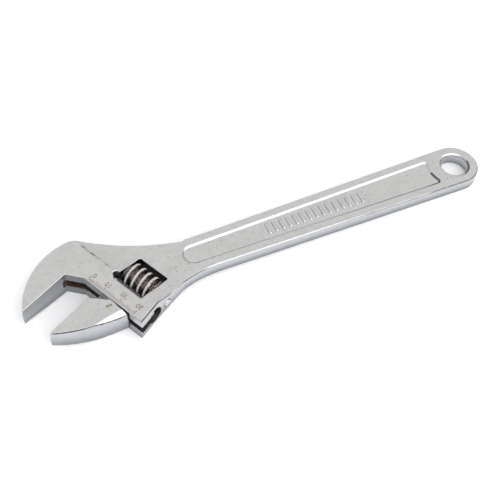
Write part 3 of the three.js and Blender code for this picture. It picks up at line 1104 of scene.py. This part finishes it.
    def slide(self) -> list[Solid]:
        """Make what is taken out for the rack bar and its web."""
        s = self.sizes
        bore_top = s.bar_top + s.opening + s.end_gap
        slot_top = s.bar_top - s.web_drop + s.opening + s.end_gap
        bore = circle((s.bar_u, 0), s.bar_radius + s.gap)
        slot_half = s.web / 2 + s.gap
        slot = rectangle(s.throat - 1.7, s.bar_u, -2 * PAST, slot_top)
        return [
            Solid.prism(bore, -2 * PAST, bore_top, Run.CLOSING),
            Solid.prism(slot, -slot_half, slot_half),
        ]

    def window(self) -> list[Solid]:
        """Make what is taken out for the worm."""
        s = self.sizes
        outline = rounded_rectangle(
            s.window_left, s.window_right, -s.half_window, s.half_window, self.window_corner
        )
        relief = circle((s.window_left + self.relief_inset, s.half_window), self.relief_radius)
        pin = circle((0, 0), s.pin_radius + self.pin_gap)
        reach, chamfer = s.half_head + 1, self.window_chamfer
        levels = [
            (-reach, chamfer + 1), (chamfer - s.half_head, 0), (s.half_head - chamfer, 0),
            (reach, chamfer + 1),
        ]
        return [
            Solid.layered(outline, levels),
            Solid.layered(relief, levels),
            Solid.prism(pin, -2 * PAST, s.half_window + s.pin_seat, Run.CLOSING),
        ]

    def mark_recesses(self, solid: Solid) -> None:
        """Mark the walls of the slide (staining and painted shade) and of the window (painted
        shade), the painted shade low on the sides and in the mouth, and the painted dark line along
        the edges.

        Args:
            solid: The body, already remeshed.
        """
        s = self.sizes
        u, v, z = solid.positions().T
        depth = np.abs(z)
        height = self.surface_height(u)
        corner = np.hypot(u - s.window_left - 1.6, v - s.half_window)
        beside_corner = smooth_step(corner, 2.2, 4.0)
        mouth_rim = 0.22 + 0.3 * (v < s.side + 1)
        bore = np.hypot(u - s.bar_u, z) < s.bar_radius + s.gap + mouth_rim
        slot = (u < s.bar_u) & (depth < s.web / 2 + s.gap + 0.15) & (u > s.throat - 1.9)
        inner = (s.front_face + 0.25 - u) < 0
        below_back = v < s.bar_top + s.opening + s.end_gap + 0.3
        shaded_and_stained = (bore | slot) & (inner | (v > s.fixed_face - 10)) & below_back
        radius = np.hypot(u, z)
        ring = (radius < s.pin_radius + 0.42) & (v < s.side + 2.5)
        # Staining and painted shade on the slide's walls, lighter beside the window's corner, and
        # painted shade round the pin's hole.
        solid.mark("slot", shaded_and_stained * (0.3 + 0.7 * beside_corner) + ring)
        solid.mark("crease", self.crease_line(u, v, depth))
        margin = 0.12
        beside = (u > s.window_left - margin) & (u < s.window_right + margin)
        within = beside & (np.abs(v) < s.half_window + margin)
        sunk = smooth_step(height - depth, 0.3, 0.55)
        # Painted shade on the window's walls, lighter beside the relief corner.
        solid.mark("window", within * sunk * (0.25 + 0.75 * beside_corner))
        in_mouth = (u < s.front_face + 0.6) & (v > s.moving_face - 6) & (v < s.fixed_face + 0.4)
        in_throat = in_mouth & (u > s.throat - 0.4)
        solid.mark("mouth", smooth_step(v, s.side + 4, s.side + 10))
        # Painted shade, growing towards the bottom of the sides and raised in the mouth and throat.
        under = np.clip(0.5 - z / (2 * height), 0, 1)
        solid.mark("under", np.maximum(under, 0.62 * in_mouth + 0.25 * in_throat))
        # Painted dark reflection along the upper edges.
        solid.mark("line", self.painted_dark_edges(u, v, z, solid.normals()[:, 2]))

    def painted_dark_edges(
        self, u: np.ndarray, v: np.ndarray, z: np.ndarray, facing_up: np.ndarray
    ) -> np.ndarray:
        """Give where the edges of the upper face get a painted dark line, standing in for the dark
        reflection on their rounded edge.

        Args:
            u: Places along U.
            v: Places along V.
            z: Heights over mid thickness.
            facing_up: How far the surface faces up there.

        Returns:
            A value from 0 to 1 for each place.
        """
        s = self.sizes
        turn = np.array(self.handle.inverted())
        x = turn[0, 0] * u + turn[0, 1] * v + turn[0, 3]
        y = turn[1, 0] * u + turn[1, 1] * v + turn[1, 3]
        side = (v < s.side + 2.5) * smooth_step(-u, -4.5, -2.0)
        flare = (y < -6) * smooth_step(x, -174, -168) * smooth_step(-x, 150, 158)
        end = (y < 0) * smooth_step(x, -26, -16)
        fainter_edge = 0.55 * (y < 0) * smooth_step(x, -95, -55)
        whole = rounded_edge(facing_up, 0.2, 0.92)
        upper = rounded_edge(facing_up, 0.7, 0.99)
        return np.clip(whole * (side + flare + fainter_edge) + upper * end, 0, 1) * (z > 1.5)

    def crease_line(self, u: np.ndarray, v: np.ndarray, depth: np.ndarray) -> np.ndarray:
        """Give how much rust has settled in the crease between the back and the window.

        Args:
            u: Places along U.
            v: Places along V.
            depth: Distances from mid thickness.

        Returns:
            A value from 0 to 1 for each place.
        """
        s = self.sizes
        near = np.exp(-(((u - s.crease - 0.1) / 0.42) ** 2))
        along = smooth_step(v, s.half_window + 1.5, s.half_window + 5) * smooth_step(-v, -36, -32)
        strength = 0.45 + 0.55 * smooth_step(v, s.half_window + 8, s.half_window + 14)
        return near * along * strength * (depth > s.half_head - 0.7)

    def surface_height(self, u: np.ndarray) -> np.ndarray:
        """Give the rough height of the head's flat face along U."""
        s = self.sizes
        places = [s.crease, s.crease + s.slope_bend * s.slope_length, s.crease + s.slope_length]
        heights = [s.half_head, s.half_handle + s.slope_sag, s.half_handle]
        return np.interp(u, places, heights)

    def build(self) -> Solid:
        """Make the body."""
        made = crowned(self.head_outline(), self.sizes.half_head, self.crown)
        made.combine(Combine.KEEP_COMMON, self.sizes.envelope())
        made.combine(Combine.JOIN, self.handle_blank())
        cuts = [self.mouth(), *self.slide(), *self.window(), self.hang_hole()]
        made.combine(Combine.CUT, *cuts, self.pocket(1), self.pocket(-1))
        made.remeshed(self.grid, 5)
        made.unevenness(9.0, 0.06, 3.1).unevenness(2.6, 0.028, 8.4)
        self.mark_recesses(made)
        return made

    def dress(self) -> bpy.types.Object:
        """Make the body and put it in place."""
        finish = ForgedChrome("chrome")
        made = self.build().piece("forged_body", BodyName.BODY, "body_chrome", finish)
        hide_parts("body")
        return made


# ---- Movable jaw ---------------------------------------------------------------------


@dataclass
class SlidingJaw:
    """Jaw, web and round rack bar, in one piece."""

    sizes: Sizes
    heel_depth: float = 6.1
    heel_height: float = 8.45
    shoulder: float = 10.8
    belly_depth: float = 19.5
    belly_v: float = -2.9
    bevel_start: tuple[float, float, float] = (-37.6, -2.2, 6.45)
    bevel_end: tuple[float, float, float] = (-19.0, -7.4, 7.2)
    bevel_tilt: float = math.radians(27)
    crown: float = 0.7
    grid: float = 0.18

    def block(self) -> Solid:
        """Make the jaw itself."""
        s = self.sizes
        back = s.front_face - s.gap
        face = s.moving_face
        outline = Outline((s.jaw_tip, face))
        outline.curve(
            (back - self.belly_depth, self.belly_v), (back, face - self.heel_height - self.shoulder)
        )
        outline.line((back, face - self.heel_height), (back - self.heel_depth, face))
        room = Outline(
            (-2 * PAST, face), (-2 * PAST, -PAST), (back, -PAST),
            (back, face - self.heel_height), (back - self.heel_depth, face),
        )
        made = crowned(outline, s.half_head, self.crown)
        return made.combine(Combine.KEEP_COMMON, Solid.prism(room, -PAST, PAST), s.envelope())

    def bevel_plane(self) -> tuple[Vector, Vector]:
        """Give a point of the plane ground on the upper face, and its upward normal."""
        start, end = Vector(self.bevel_start), Vector(self.bevel_end)
        along = (end - start).normalized()
        outward = Vector((along.y, -along.x, 0)).normalized()
        down = outward * math.cos(self.bevel_tilt) - Vector((0, 0, math.sin(self.bevel_tilt)))
        up = along.cross(down.normalized())
        return start, up if up.z > 0 else -up

    def ground_bevel(self, face: int) -> Solid:
        """Make what grinding took off the outer edge of one face.

        Args:
            face: 1 for the upper face, -1 for the lower one.

        Returns:
            The solid to cut away.
        """
        start, up = self.bevel_plane()
        end = Vector(self.bevel_end)
        along = (end - start).normalized()
        down = along.cross(up)
        if down.z > 0:
            down = -down
        reach = 12.0
        corners = [
            start + along * (t * (end - start).length) + down * d + up * h
            for h in (0, reach)
            for t, d in ((0, 0), (1, 0), (1, reach), (0, reach))
        ]
        faces = [(0, 1, 2, 3), (4, 5, 6, 7), (0, 1, 5, 4), (1, 2, 6, 5), (2, 3, 7, 6), (3, 0, 4, 7)]
        flip = Matrix.Diagonal((1, 1, face, 1))
        return Solid([flip @ corner for corner in corners], faces)

    def web_and_bar(self) -> list[Solid]:
        """Make the web and the round bar."""
        s = self.sizes
        back = s.front_face - s.gap
        low = s.moving_face - self.heel_height - self.shoulder + 1
        top = s.bar_top - s.web_drop
        outline = Outline(
            (s.bar_u, low), (s.bar_u, top), (back - self.heel_depth + SKIN, top),
            (back - SKIN, s.moving_face - self.heel_height), (back - SKIN, low),
        )
        bar = circle((s.bar_u, 0), s.bar_radius)
        return [
            Solid.prism(outline, -s.web / 2, s.web / 2),
            Solid.layered(
                bar,
                [
                    (s.bar_top - s.bar_length, -0.4), (s.bar_top - s.bar_length + 0.4, 0),
                    (s.bar_top - 0.3, 0), (s.bar_top, -0.3),
                ],
                Run.CLOSING,
            ),
        ]

    def teeth(self) -> list[Solid]:
        """Make the slanted grooves that the thread runs in."""
        s = self.sizes
        deep = s.worm_radius + s.gap
        shallow = -s.bar_u - s.bar_radius - SKIN
        slope = math.tan(s.flank)
        deep_half = s.thread_crest / 2 + s.gap
        shallow_half = deep_half + (s.worm_radius - shallow) * slope
        slant = s.hand * s.pitch / (FULL_TURN * (deep + shallow) / 2)
        lean = Matrix.Identity(4)
        lean[1][2] = slant
        bottom = s.bar_top - s.bar_length
        first = math.ceil((bottom - s.pitch) / s.pitch)
        grooves = []
        for index in range(first, first + math.ceil(s.bar_length / s.pitch) + 2):
            v = (index + s.phase) * s.pitch
            outline = Outline(
                (-deep, v - deep_half), (-shallow, v - shallow_half),
                (-shallow, v + shallow_half), (-deep, v + deep_half),
            )
            half = s.bar_radius + SKIN
            grooves.append(Solid.prism(outline, -half, half).moved(lean))
        return grooves

    def outer_line(self, made: Solid) -> np.ndarray:
        """Give where a painted dark line, standing in for a dark reflection, runs along the upper
        end of the jaw's curved outer side, with painted shade at the jaw's gap beside the head's
        front face.

        Args:
            made: The jaw.

        Returns:
            A value from 0 to 1 for each vertex.
        """
        s = self.sizes
        places = made.positions()
        u, v, z = places.T
        flat = np.interp(u, [s.jaw_tip, s.throat], [s.half_tip, s.half_head])
        start, up = self.bevel_plane()
        to_bevel = (places - np.array(start)) @ np.array(up)
        under = np.minimum(flat - z, -to_bevel / up.z)
        waves = np.array([noise.noise(Vector((p[0] * 0.55, p[1] * 0.55, 0))) for p in places])
        tipward = smooth_step(-u, 34, 42)
        reach = 0.6 + 0.3 * tipward + 0.5 * waves * (1 - tipward)
        strip = smooth_step(-under, -reach - 0.15, -reach + 0.15)
        outside = (u < s.front_face - 0.5) * smooth_step(s.moving_face - v, 0.4, 1.5)
        side = 1 - smooth_step(made.normals()[:, 2], 0.76, 0.86)
        # Painted shade in the gap between the jaw and the head.
        at_gap = (u > s.front_face - s.gap - 0.5) * (u < s.front_face) * smooth_step(-v, 1, 5)
        lined = strip * side * outside * (0.8 + 0.2 * tipward)
        return np.maximum(lined, at_gap * smooth_step(z, 0, 3))

    def build(self) -> Solid:
        """Make the jaw with its bar."""
        s = self.sizes
        made = self.block()
        made.combine(Combine.CUT, self.ground_bevel(1), self.ground_bevel(-1))
        made.combine(Combine.JOIN, *self.web_and_bar())
        made.combine(Combine.CUT, *self.teeth())
        made.remeshed(self.grid, 4)
        made.unevenness(8.0, 0.035, 5.7).unevenness(2.4, 0.012, 1.9)
        u, v, z = made.positions().T
        hidden = smooth_step(u, s.front_face - 0.2, s.front_face + 0.4)
        bottom = s.bar_top - s.bar_length
        middle = 1 - smooth_step(np.hypot(u - s.bar_u, z), 3.3, 3.7)
        end = smooth_step(-v, -bottom - 0.6, -bottom - 0.2) * middle
        top = smooth_step(v, s.bar_top - 2.5, s.bar_top - 1)
        # Staining and painted shade on the web and bar inside the head.
        made.mark("slot", hidden * (1 - end) * (1 - 0.8 * top) * 0.85)
        # The bar's end: partly uncoated steel and partly a painted highlight.
        made.mark("bare_and_highlit", hidden * end)
        # Painted shade towards the bottom of the jaw's sides.
        made.mark("under", np.clip(0.5 - z / (2 * s.half_head), 0, 1))
        # Painted dark reflection on the jaw's outer edge, and painted shade at its gap.
        made.mark("line", self.outer_line(made))
        made.mark("window", np.zeros(len(u)))
        made.mark("crease", np.zeros(len(u)))
        return made

    def dress(self) -> bpy.types.Object:
        """Make the jaw and put it in place."""
        made = self.build().piece("sliding_jaw", BodyName.JAW, "jaw_chrome", ForgedChrome("chrome"))
        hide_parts("movable_jaw")
        return made


# ---- Worm, pin and spring ------------------------------------------------------------


@dataclass
class Worm:
    """The knurled worm that drives the rack bar."""

    sizes: Sizes
    end_gap: float = 0.4
    chamfer: float = 1.4
    bore: float = 2.3
    counterbore: float = 3.7
    spring_room: float = 3.6
    knurls: int = 48
    knurl_depth: float = 0.3
    steps_per_knurl: int = 8
    profile_steps: int = 44

    @property
    def half(self) -> float:
        """Give half the worm's length."""
        return self.sizes.half_window - self.end_gap

    def thread_profile(self) -> np.ndarray:
        """Draw one pitch of the thread, from root to root, with eased corners.

        Returns:
            Rows of place along the axis, from the thread's middle, and radius.
        """
        s = self.sizes
        root = s.worm_radius - s.thread_depth
        crest_half = s.thread_crest / 2
        root_half = crest_half + s.thread_depth * math.tan(s.flank)
        corners = np.array([
            (-s.pitch / 2, root), (-root_half, root), (-crest_half, s.worm_radius),
            (crest_half, s.worm_radius), (root_half, root), (s.pitch / 2, root),
        ])
        lengths = np.concatenate([[0], np.cumsum(np.linalg.norm(np.diff(corners, axis=0), axis=1))])
        finer, reach = 8, 12
        places = np.linspace(0, lengths[-1], self.profile_steps * finer + 1)
        fine = np.stack([np.interp(places, lengths, corners[:, axis]) for axis in (0, 1)], axis=1)
        turn = (s.pitch, 0)
        ahead = np.concatenate([fine[-reach - 1:-1] - turn, fine, fine[1:reach + 1] + turn])
        window = np.ones(2 * reach + 1) / (2 * reach + 1)
        eased = np.stack([np.convolve(ahead[:, axis], window, "valid") for axis in (0, 1)], axis=1)
        return eased[::finer]

    def knurled(self, radius: float, angle: float) -> float:
        """Give the radius left where the knurl's grooves cross the crest."""
        spacing = FULL_TURN / self.knurls
        off = (angle / spacing + 0.5) % 1 - 0.5
        away = abs(abs(off) - 0.5) * spacing * self.sizes.worm_radius
        floor = self.sizes.worm_radius - self.knurl_depth
        return min(radius, floor + away * 0.95) if radius > floor else radius

    def thread(self) -> Solid:
        """Make an endless thread, longer than the worm."""
        s = self.sizes
        profile = self.thread_profile()
        per_turn = self.knurls * self.steps_per_knurl
        turns = 2 * self.half / s.pitch + 2
        count = round(turns * per_turn)
        vertices = []
        for step in range(count + 1):
            angle = (step - count / 2) * FULL_TURN / per_turn
            middle = (s.hand * (angle / FULL_TURN + 0.25) + s.phase) * s.pitch
            for v, radius in profile:
                r = self.knurled(radius, angle)
                vertices.append((r * math.sin(angle), middle + v, r * math.cos(angle)))
        width = len(profile)
        faces = [
            (a, a + 1, a + 1 + width, a + width)
            for step in range(count)
            for a in range(step * width, step * width + width - 1)
        ]
        return Solid(vertices, faces)

    @staticmethod
    def closed(solid: Solid) -> Solid:
        """Close the thread's two open ends with fans to the axis."""
        work = bmesh.new()
        work.from_mesh(solid.object.data)
        bmesh.ops.remove_doubles(work, verts=work.verts, dist=2e-3)
        rims = [edge for edge in work.edges if edge.is_boundary]
        for sign in (-1, 1):
            ends = [e for e in rims if sign * (e.verts[0].co.y + e.verts[1].co.y) > 0]
            hub = work.verts.new((0, sign * max(abs(v.co.y) for e in ends for v in e.verts), 0))
            for edge in ends:
                work.faces.new((edge.verts[0], edge.verts[1], hub))
        bmesh.ops.recalc_face_normals(work, faces=work.faces)
        work.to_mesh(solid.object.data)
        work.free()
        return solid

    def build(self) -> Solid:
        """Make the worm."""
        s = self.sizes
        rim = s.worm_radius - self.chamfer
        blank = Solid.turned([
            (0, -self.half), (rim - 0.2, -self.half), (rim, 0.15 - self.half),
            (s.worm_radius + 0.05, self.chamfer + 0.2 - self.half),
            (s.worm_radius + 0.05, self.half - self.chamfer - 0.2),
            (rim, self.half - 0.15), (rim - 0.2, self.half), (0, self.half),
        ], 192)
        made = self.closed(self.thread()).combine(Combine.KEEP_COMMON, blank)
        room = self.half - self.spring_room
        hollow = Solid.turned([
            (0, -PAST), (self.bore, -PAST), (self.bore, room),
            (self.counterbore, room), (self.counterbore, PAST), (0, PAST),
        ])
        made.combine(Combine.CUT, hollow)
        u, v, z = made.positions().T
        root = s.worm_radius - s.thread_depth
        height = np.clip((np.hypot(u, z) - root) / s.thread_depth, 0, 1)
        middle = (s.hand * (np.arctan2(u, z) / FULL_TURN + 0.25) + s.phase) * s.pitch
        off = np.abs((v - middle + s.pitch / 2) % s.pitch - s.pitch / 2)
        # These carry the painted shade in the roots and the painted highlight on the crests.
        made.mark("height", height)
        made.mark("crest", smooth_step(height, 0.7, 0.95) * (1 - smooth_step(off, 0.3, 0.7)))
        return made

    def dress(self) -> bpy.types.Object:
        """Make the worm and put it in place."""
        made = self.build().piece("knurled_worm", BodyName.WORM, "worm_steel", WornThread("thread"))
        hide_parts("adjusting_worm")
        return made


@dataclass
class PinAndSpring:
    """The worm's pin and the spring round it."""

    sizes: Sizes
    worm: Worm
    crown: float = 0.88
    rim: float = 0.18
    wire: float = 0.35
    coil: float = 3.0
    turns: int = 3

    def pin(self) -> bpy.types.Object:
        """Make the pin, with a slight chamfer that shows as a ring on the head's side."""
        s = self.sizes
        radius = s.pin_radius - 0.02
        low, high = s.side - self.crown, s.half_window + s.pin_seat - 0.05
        made = Solid.turned([
            (0, low), (radius - self.rim, low), (radius, low + self.rim),
            (radius, high - self.rim), (radius - self.rim, high), (0, high),
        ])
        piece = made.piece("worm_axle", BodyName.BODY, "pin_steel", GroundSteel("ground_steel"))
        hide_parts("worm_pin")
        return piece

    def spring(self) -> bpy.types.Object:
        """Wind the spring."""
        s = self.sizes
        thick = 2 * self.wire
        start = self.worm.half - self.worm.spring_room + thick
        end = s.half_window - thick
        sides, steps = 12, self.turns * 36
        vertices = []
        for step in range(steps + 1):
            angle = step / steps * self.turns * FULL_TURN
            v = start + (end - start) * step / steps
            for side in range(sides):
                around = side / sides * FULL_TURN
                r = self.coil + self.wire * math.cos(around)
                along = v + self.wire * math.sin(around)
                vertices.append((r * math.sin(angle), along, r * math.cos(angle)))
        faces: list[tuple[int, ...]] = [tuple(range(sides))]
        for step in range(steps):
            for side in range(sides):
                a, b = step * sides + side, step * sides + (side + 1) % sides
                faces.append((a, b, b + sides, a + sides))
        faces.append(tuple(range(steps * sides, (steps + 1) * sides)))
        made = Solid(vertices, faces)
        piece = made.piece("wound_spring", BodyName.BODY, "spring_steel", GroundSteel("drawn_wire"))
        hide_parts("worm_spring")
        return piece

    def dress(self) -> None:
        """Make both and put them in place."""
        self.pin()
        self.spring()


# ---- Marks ---------------------------------------------------------------------------


@dataclass
class Marks:
    """The opening scale with its numbers, the jaw's index, and ribs in the pocket."""

    sizes: Sizes
    body: ForgedBody
    zero: float = 17.3
    width: float = 0.3
    proud: float = 0.09
    sunk: float = 0.25
    from_edge: float = 0.55
    number_size: float = 3.6
    numbers: tuple[tuple[str, float, float], ...] = (
        ("0", -15.1, 16.0), ("10", -14.7, 7.4), ("20", -14.0, -2.3), ("30", -13.9, -12.1),
    )
    ribs_from: float = -59.5
    rib_spacing: float = 3.9
    rib_count: int = 15

    def slabs(self, outlines: Sequence[Outline], top: float) -> Solid:
        """Make thin inlays that stand slightly proud of a level.

        Args:
            outlines: Outline of each inlay.
            top: The level.

        Returns:
            All of them as one solid.
        """
        vertices: list[tuple[float, float, float]] = []
        faces: list[tuple[int, ...]] = []
        for outline in outlines:
            ring = outline.grown(0)
            start, count = len(vertices), len(ring)
            vertices += [(x, y, top - self.sunk) for x, y in ring]
            vertices += [(x, y, top + self.proud) for x, y in ring]
            faces.append(tuple(range(start, start + count)))
            faces.append(tuple(range(start + count, start + 2 * count)))
            for index in range(count):
                after = (index + 1) % count
                low, high = start, start + count
                faces.append((low + index, low + after, high + after, high + index))
        return Solid(vertices, faces)

    def ticks(self) -> bpy.types.Object:
        """Make one tick for each millimetre of opening."""
        start = self.sizes.front_face + self.from_edge
        outlines = []
        for index in range(31):
            length = 2.7 if index % 10 == 0 else 2.1 if index % 5 == 0 else 1.5
            v = self.zero - index
            half = self.width / 2
            outlines.append(rectangle(start, start + length, v - half, v + half))
        made = self.slabs(outlines, self.sizes.half_head)
        return made.piece("scale_ticks", BodyName.BODY, "body_chrome", EtchedMark("etched"))

    def number(self, text: str, u: float, v: float) -> bpy.types.Object:
        """Make one of the scale's numbers, read with the handle pointing down.

        Args:
            text: The number.
            u: Place of its middle along U.
            v: Place of its middle along V.

        Returns:
            The piece.
        """
        curve = bpy.data.curves.new("number", "FONT")
        curve.body = text
        curve.size = self.number_size
        curve.align_x, curve.align_y = "CENTER", "CENTER"
        curve.extrude = 0.05
        letter = bpy.data.objects.new("number", curve)
        bpy.context.scene.collection.objects.link(letter)
        graph = bpy.context.evaluated_depsgraph_get()
        graph.update()
        mesh = bpy.data.meshes.new_from_object(letter.evaluated_get(graph))
        bpy.data.objects.remove(letter)
        bpy.data.curves.remove(curve)
        made = Solid([v.co for v in mesh.vertices], [tuple(p.vertices) for p in mesh.polygons])
        bpy.data.meshes.remove(mesh)
        turn = Matrix.Rotation(math.pi / 2, 4, "Z")
        level = self.sizes.half_head - 0.05 + self.proud
        made.moved(Matrix.Translation((u, v, level)) @ turn)
        name = f"scale_number_{text}"
        return made.piece(name, BodyName.BODY, "body_chrome", EtchedMark("etched"))

    def index(self) -> bpy.types.Object:
        """Make the triangle on the jaw that points at the scale."""
        s = self.sizes
        u, v, length, half = s.front_face - 1.55, -1.45, 3.0, 1.4
        outline = Outline((u, v), (u - length, v + half), (u - length, v - half))
        made = self.slabs([outline], s.half_head + 0.11)
        finish = EtchedMark("etched_index", (0.40, 0.36, 0.29), (0.53, 0.49, 0.43))
        return made.piece("index_mark", BodyName.JAW, "jaw_chrome", finish)

    def ribs(self) -> bpy.types.Object:
        """Make a plain row of raised ribs in the upper pocket."""
        floor = self.sizes.half_handle - self.body.pocket_depth
        outlines = []
        for index in range(self.rib_count):
            x = self.ribs_from - self.rib_spacing * index
            outlines.append(rounded_rectangle(x - 0.8, x + 0.8, -3.7, 3.3, 0.75))
        vertices: list[Any] = []
        faces: list[tuple[int, ...]] = []
        for outline in outlines:
            levels = [
                (floor - 0.4, 0.25), (floor + 0.2, 0.1), (floor + 0.5, -0.1), (floor + 0.6, -0.35),
            ]
            rib = Solid.layered(outline, levels)
            start = len(vertices)
            vertices += [tuple(v.co) for v in rib.object.data.vertices]
            faces += [tuple(start + i for i in p.vertices) for p in rib.object.data.polygons]
            rib.discard()
        made = Solid(vertices, faces).moved(self.body.handle)
        count = len(made.object.data.vertices)
        even = {"edge": 0.5, "slot": 0.0, "window": 0.0, "crease": 0.0, "under": 0.0, "line": 0.0}
        for name, value in even.items():
            made.mark(name, np.full(count, value))
        return made.piece("pocket_ribs", BodyName.BODY, "body_chrome", ForgedChrome("chrome"))

    def dress(self) -> None:
        """Make all the marks and put them in place."""
        self.ticks()
        for text, u, v in self.numbers:
            self.number(text, u, v)
        self.index()
        self.ribs()


# ---- Studio --------------------------------------------------------------------------


@dataclass
class Studio:
    """A plain pale floor, a bright tent of light and the camera."""

    camera_from_worm: tuple[float, float, float] = (-0.08455, -0.24956, 0.36949)
    azimuth: float = math.radians(-29.85)
    elevation: float = math.radians(52.31)
    roll: float = math.radians(5.5)
    lens: float = 66.55
    lamp_side: tuple[float, float, float] = (0.2, -0.8, 0.56)
    dark_band: tuple[float, float] = (0.10, 0.34)
    band_light: float = 0.25

    def camera(self) -> None:
        """Set up the camera."""
        data = bpy.data.cameras.new("camera")
        data.sensor_width = 36.0
        data.lens = self.lens
        data.clip_start, data.clip_end = 0.01, 20.0
        seen = bpy.data.objects.new("camera", data)
        bpy.context.scene.collection.objects.link(seen)
        a, e = self.azimuth, self.elevation
        back = Vector((math.sin(a) * math.cos(e), -math.cos(a) * math.cos(e), math.sin(e)))
        level = Vector((math.cos(a), math.sin(a), 0))
        upright = back.cross(level)
        right = level * math.cos(self.roll) + upright * math.sin(self.roll)
        up = back.cross(right)
        turn = Matrix((right, up, back)).transposed().to_4x4()
        place = HEAD.to_row.translation + Vector(self.camera_from_worm)
        seen.matrix_world = Matrix.Translation(place) @ turn
        bpy.context.scene.camera = seen

    def floor(self) -> None:
        """Lay the floor, tipped so that the head's underside and the handle's end touch it."""
        _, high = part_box("body")
        crease, lift, end_inset = -0.070, 0.0035, 0.006
        slope = lift / (high.x - end_inset - crease)
        size, steps = 3.0, 24
        work = bmesh.new()
        bmesh.ops.create_grid(work, x_segments=steps, y_segments=steps, size=size)
        for vertex in work.verts:
            vertex.co.z = (vertex.co.x - crease) * slope - 0.0002
        mesh = bpy.data.meshes.new("floor")
        work.to_mesh(mesh)
        work.free()
        floor = bpy.data.objects.new("floor", mesh)
        bpy.context.scene.collection.objects.link(floor)
        shader = Shader(bpy.data.materials.new("paper"))
        fibre = shader.grain(3.0)
        mesh.materials.append(shader.surface({
            "Base Color": shader.blend(fibre, (0.93, 0.93, 0.93), (0.95, 0.95, 0.95)),
            "Roughness": 0.9,
            "Specular IOR Level": 0.0,
            "Emission Color": (1.0, 1.0, 1.0, 1.0),
            "Emission Strength": 0.12,
        }))

    def light(self) -> None:
        """Light the scene from all round, most of all from the lamps' side."""
        world = bpy.data.worlds.new("tent")
        bpy.context.scene.world = world
        shader = Shader(world)
        place = shader.node("ShaderNodeTexCoord").outputs["Generated"]
        lamps = tuple(Vector(self.lamp_side).normalized())
        dot = {"operation": "DOT_PRODUCT"}
        facing = shader.node("ShaderNodeVectorMath", dot, {0: place, 1: lamps})
        split = shader.node("ShaderNodeSeparateXYZ", None, {0: place})
        lamp = Value(shader, facing.outputs["Value"]).between(0.35, 0.95)
        height = Value(shader, split.outputs[2]).between(*self.dark_band)
        strength = (0.78 + 1.42 * lamp) * (self.band_light + (1 - self.band_light) * height)
        colour = (0.985, 0.99, 1.0, 1.0)
        sky = shader.node("ShaderNodeBackground", None, {"Color": colour, "Strength": strength})
        shader.node("ShaderNodeOutputWorld", None, {"Surface": sky.outputs[0]})
        bpy.context.scene.view_settings.view_transform = "Standard"

    def build(self) -> None:
        """Set up floor, light and camera."""
        self.floor()
        self.light()
        self.camera()


def main() -> None:
    """Build every piece in order."""
    logging.basicConfig(level=logging.INFO, format="%(name)s: %(message)s")
    sizes = Sizes()
    body = ForgedBody(sizes)
    body.dress()
    SlidingJaw(sizes).dress()
    worm = Worm(sizes)
    worm.dress()
    PinAndSpring(sizes, worm).dress()
    Marks(sizes, body).dress()
    Studio().build()
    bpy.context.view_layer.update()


if __name__ == "__main__":
    main()
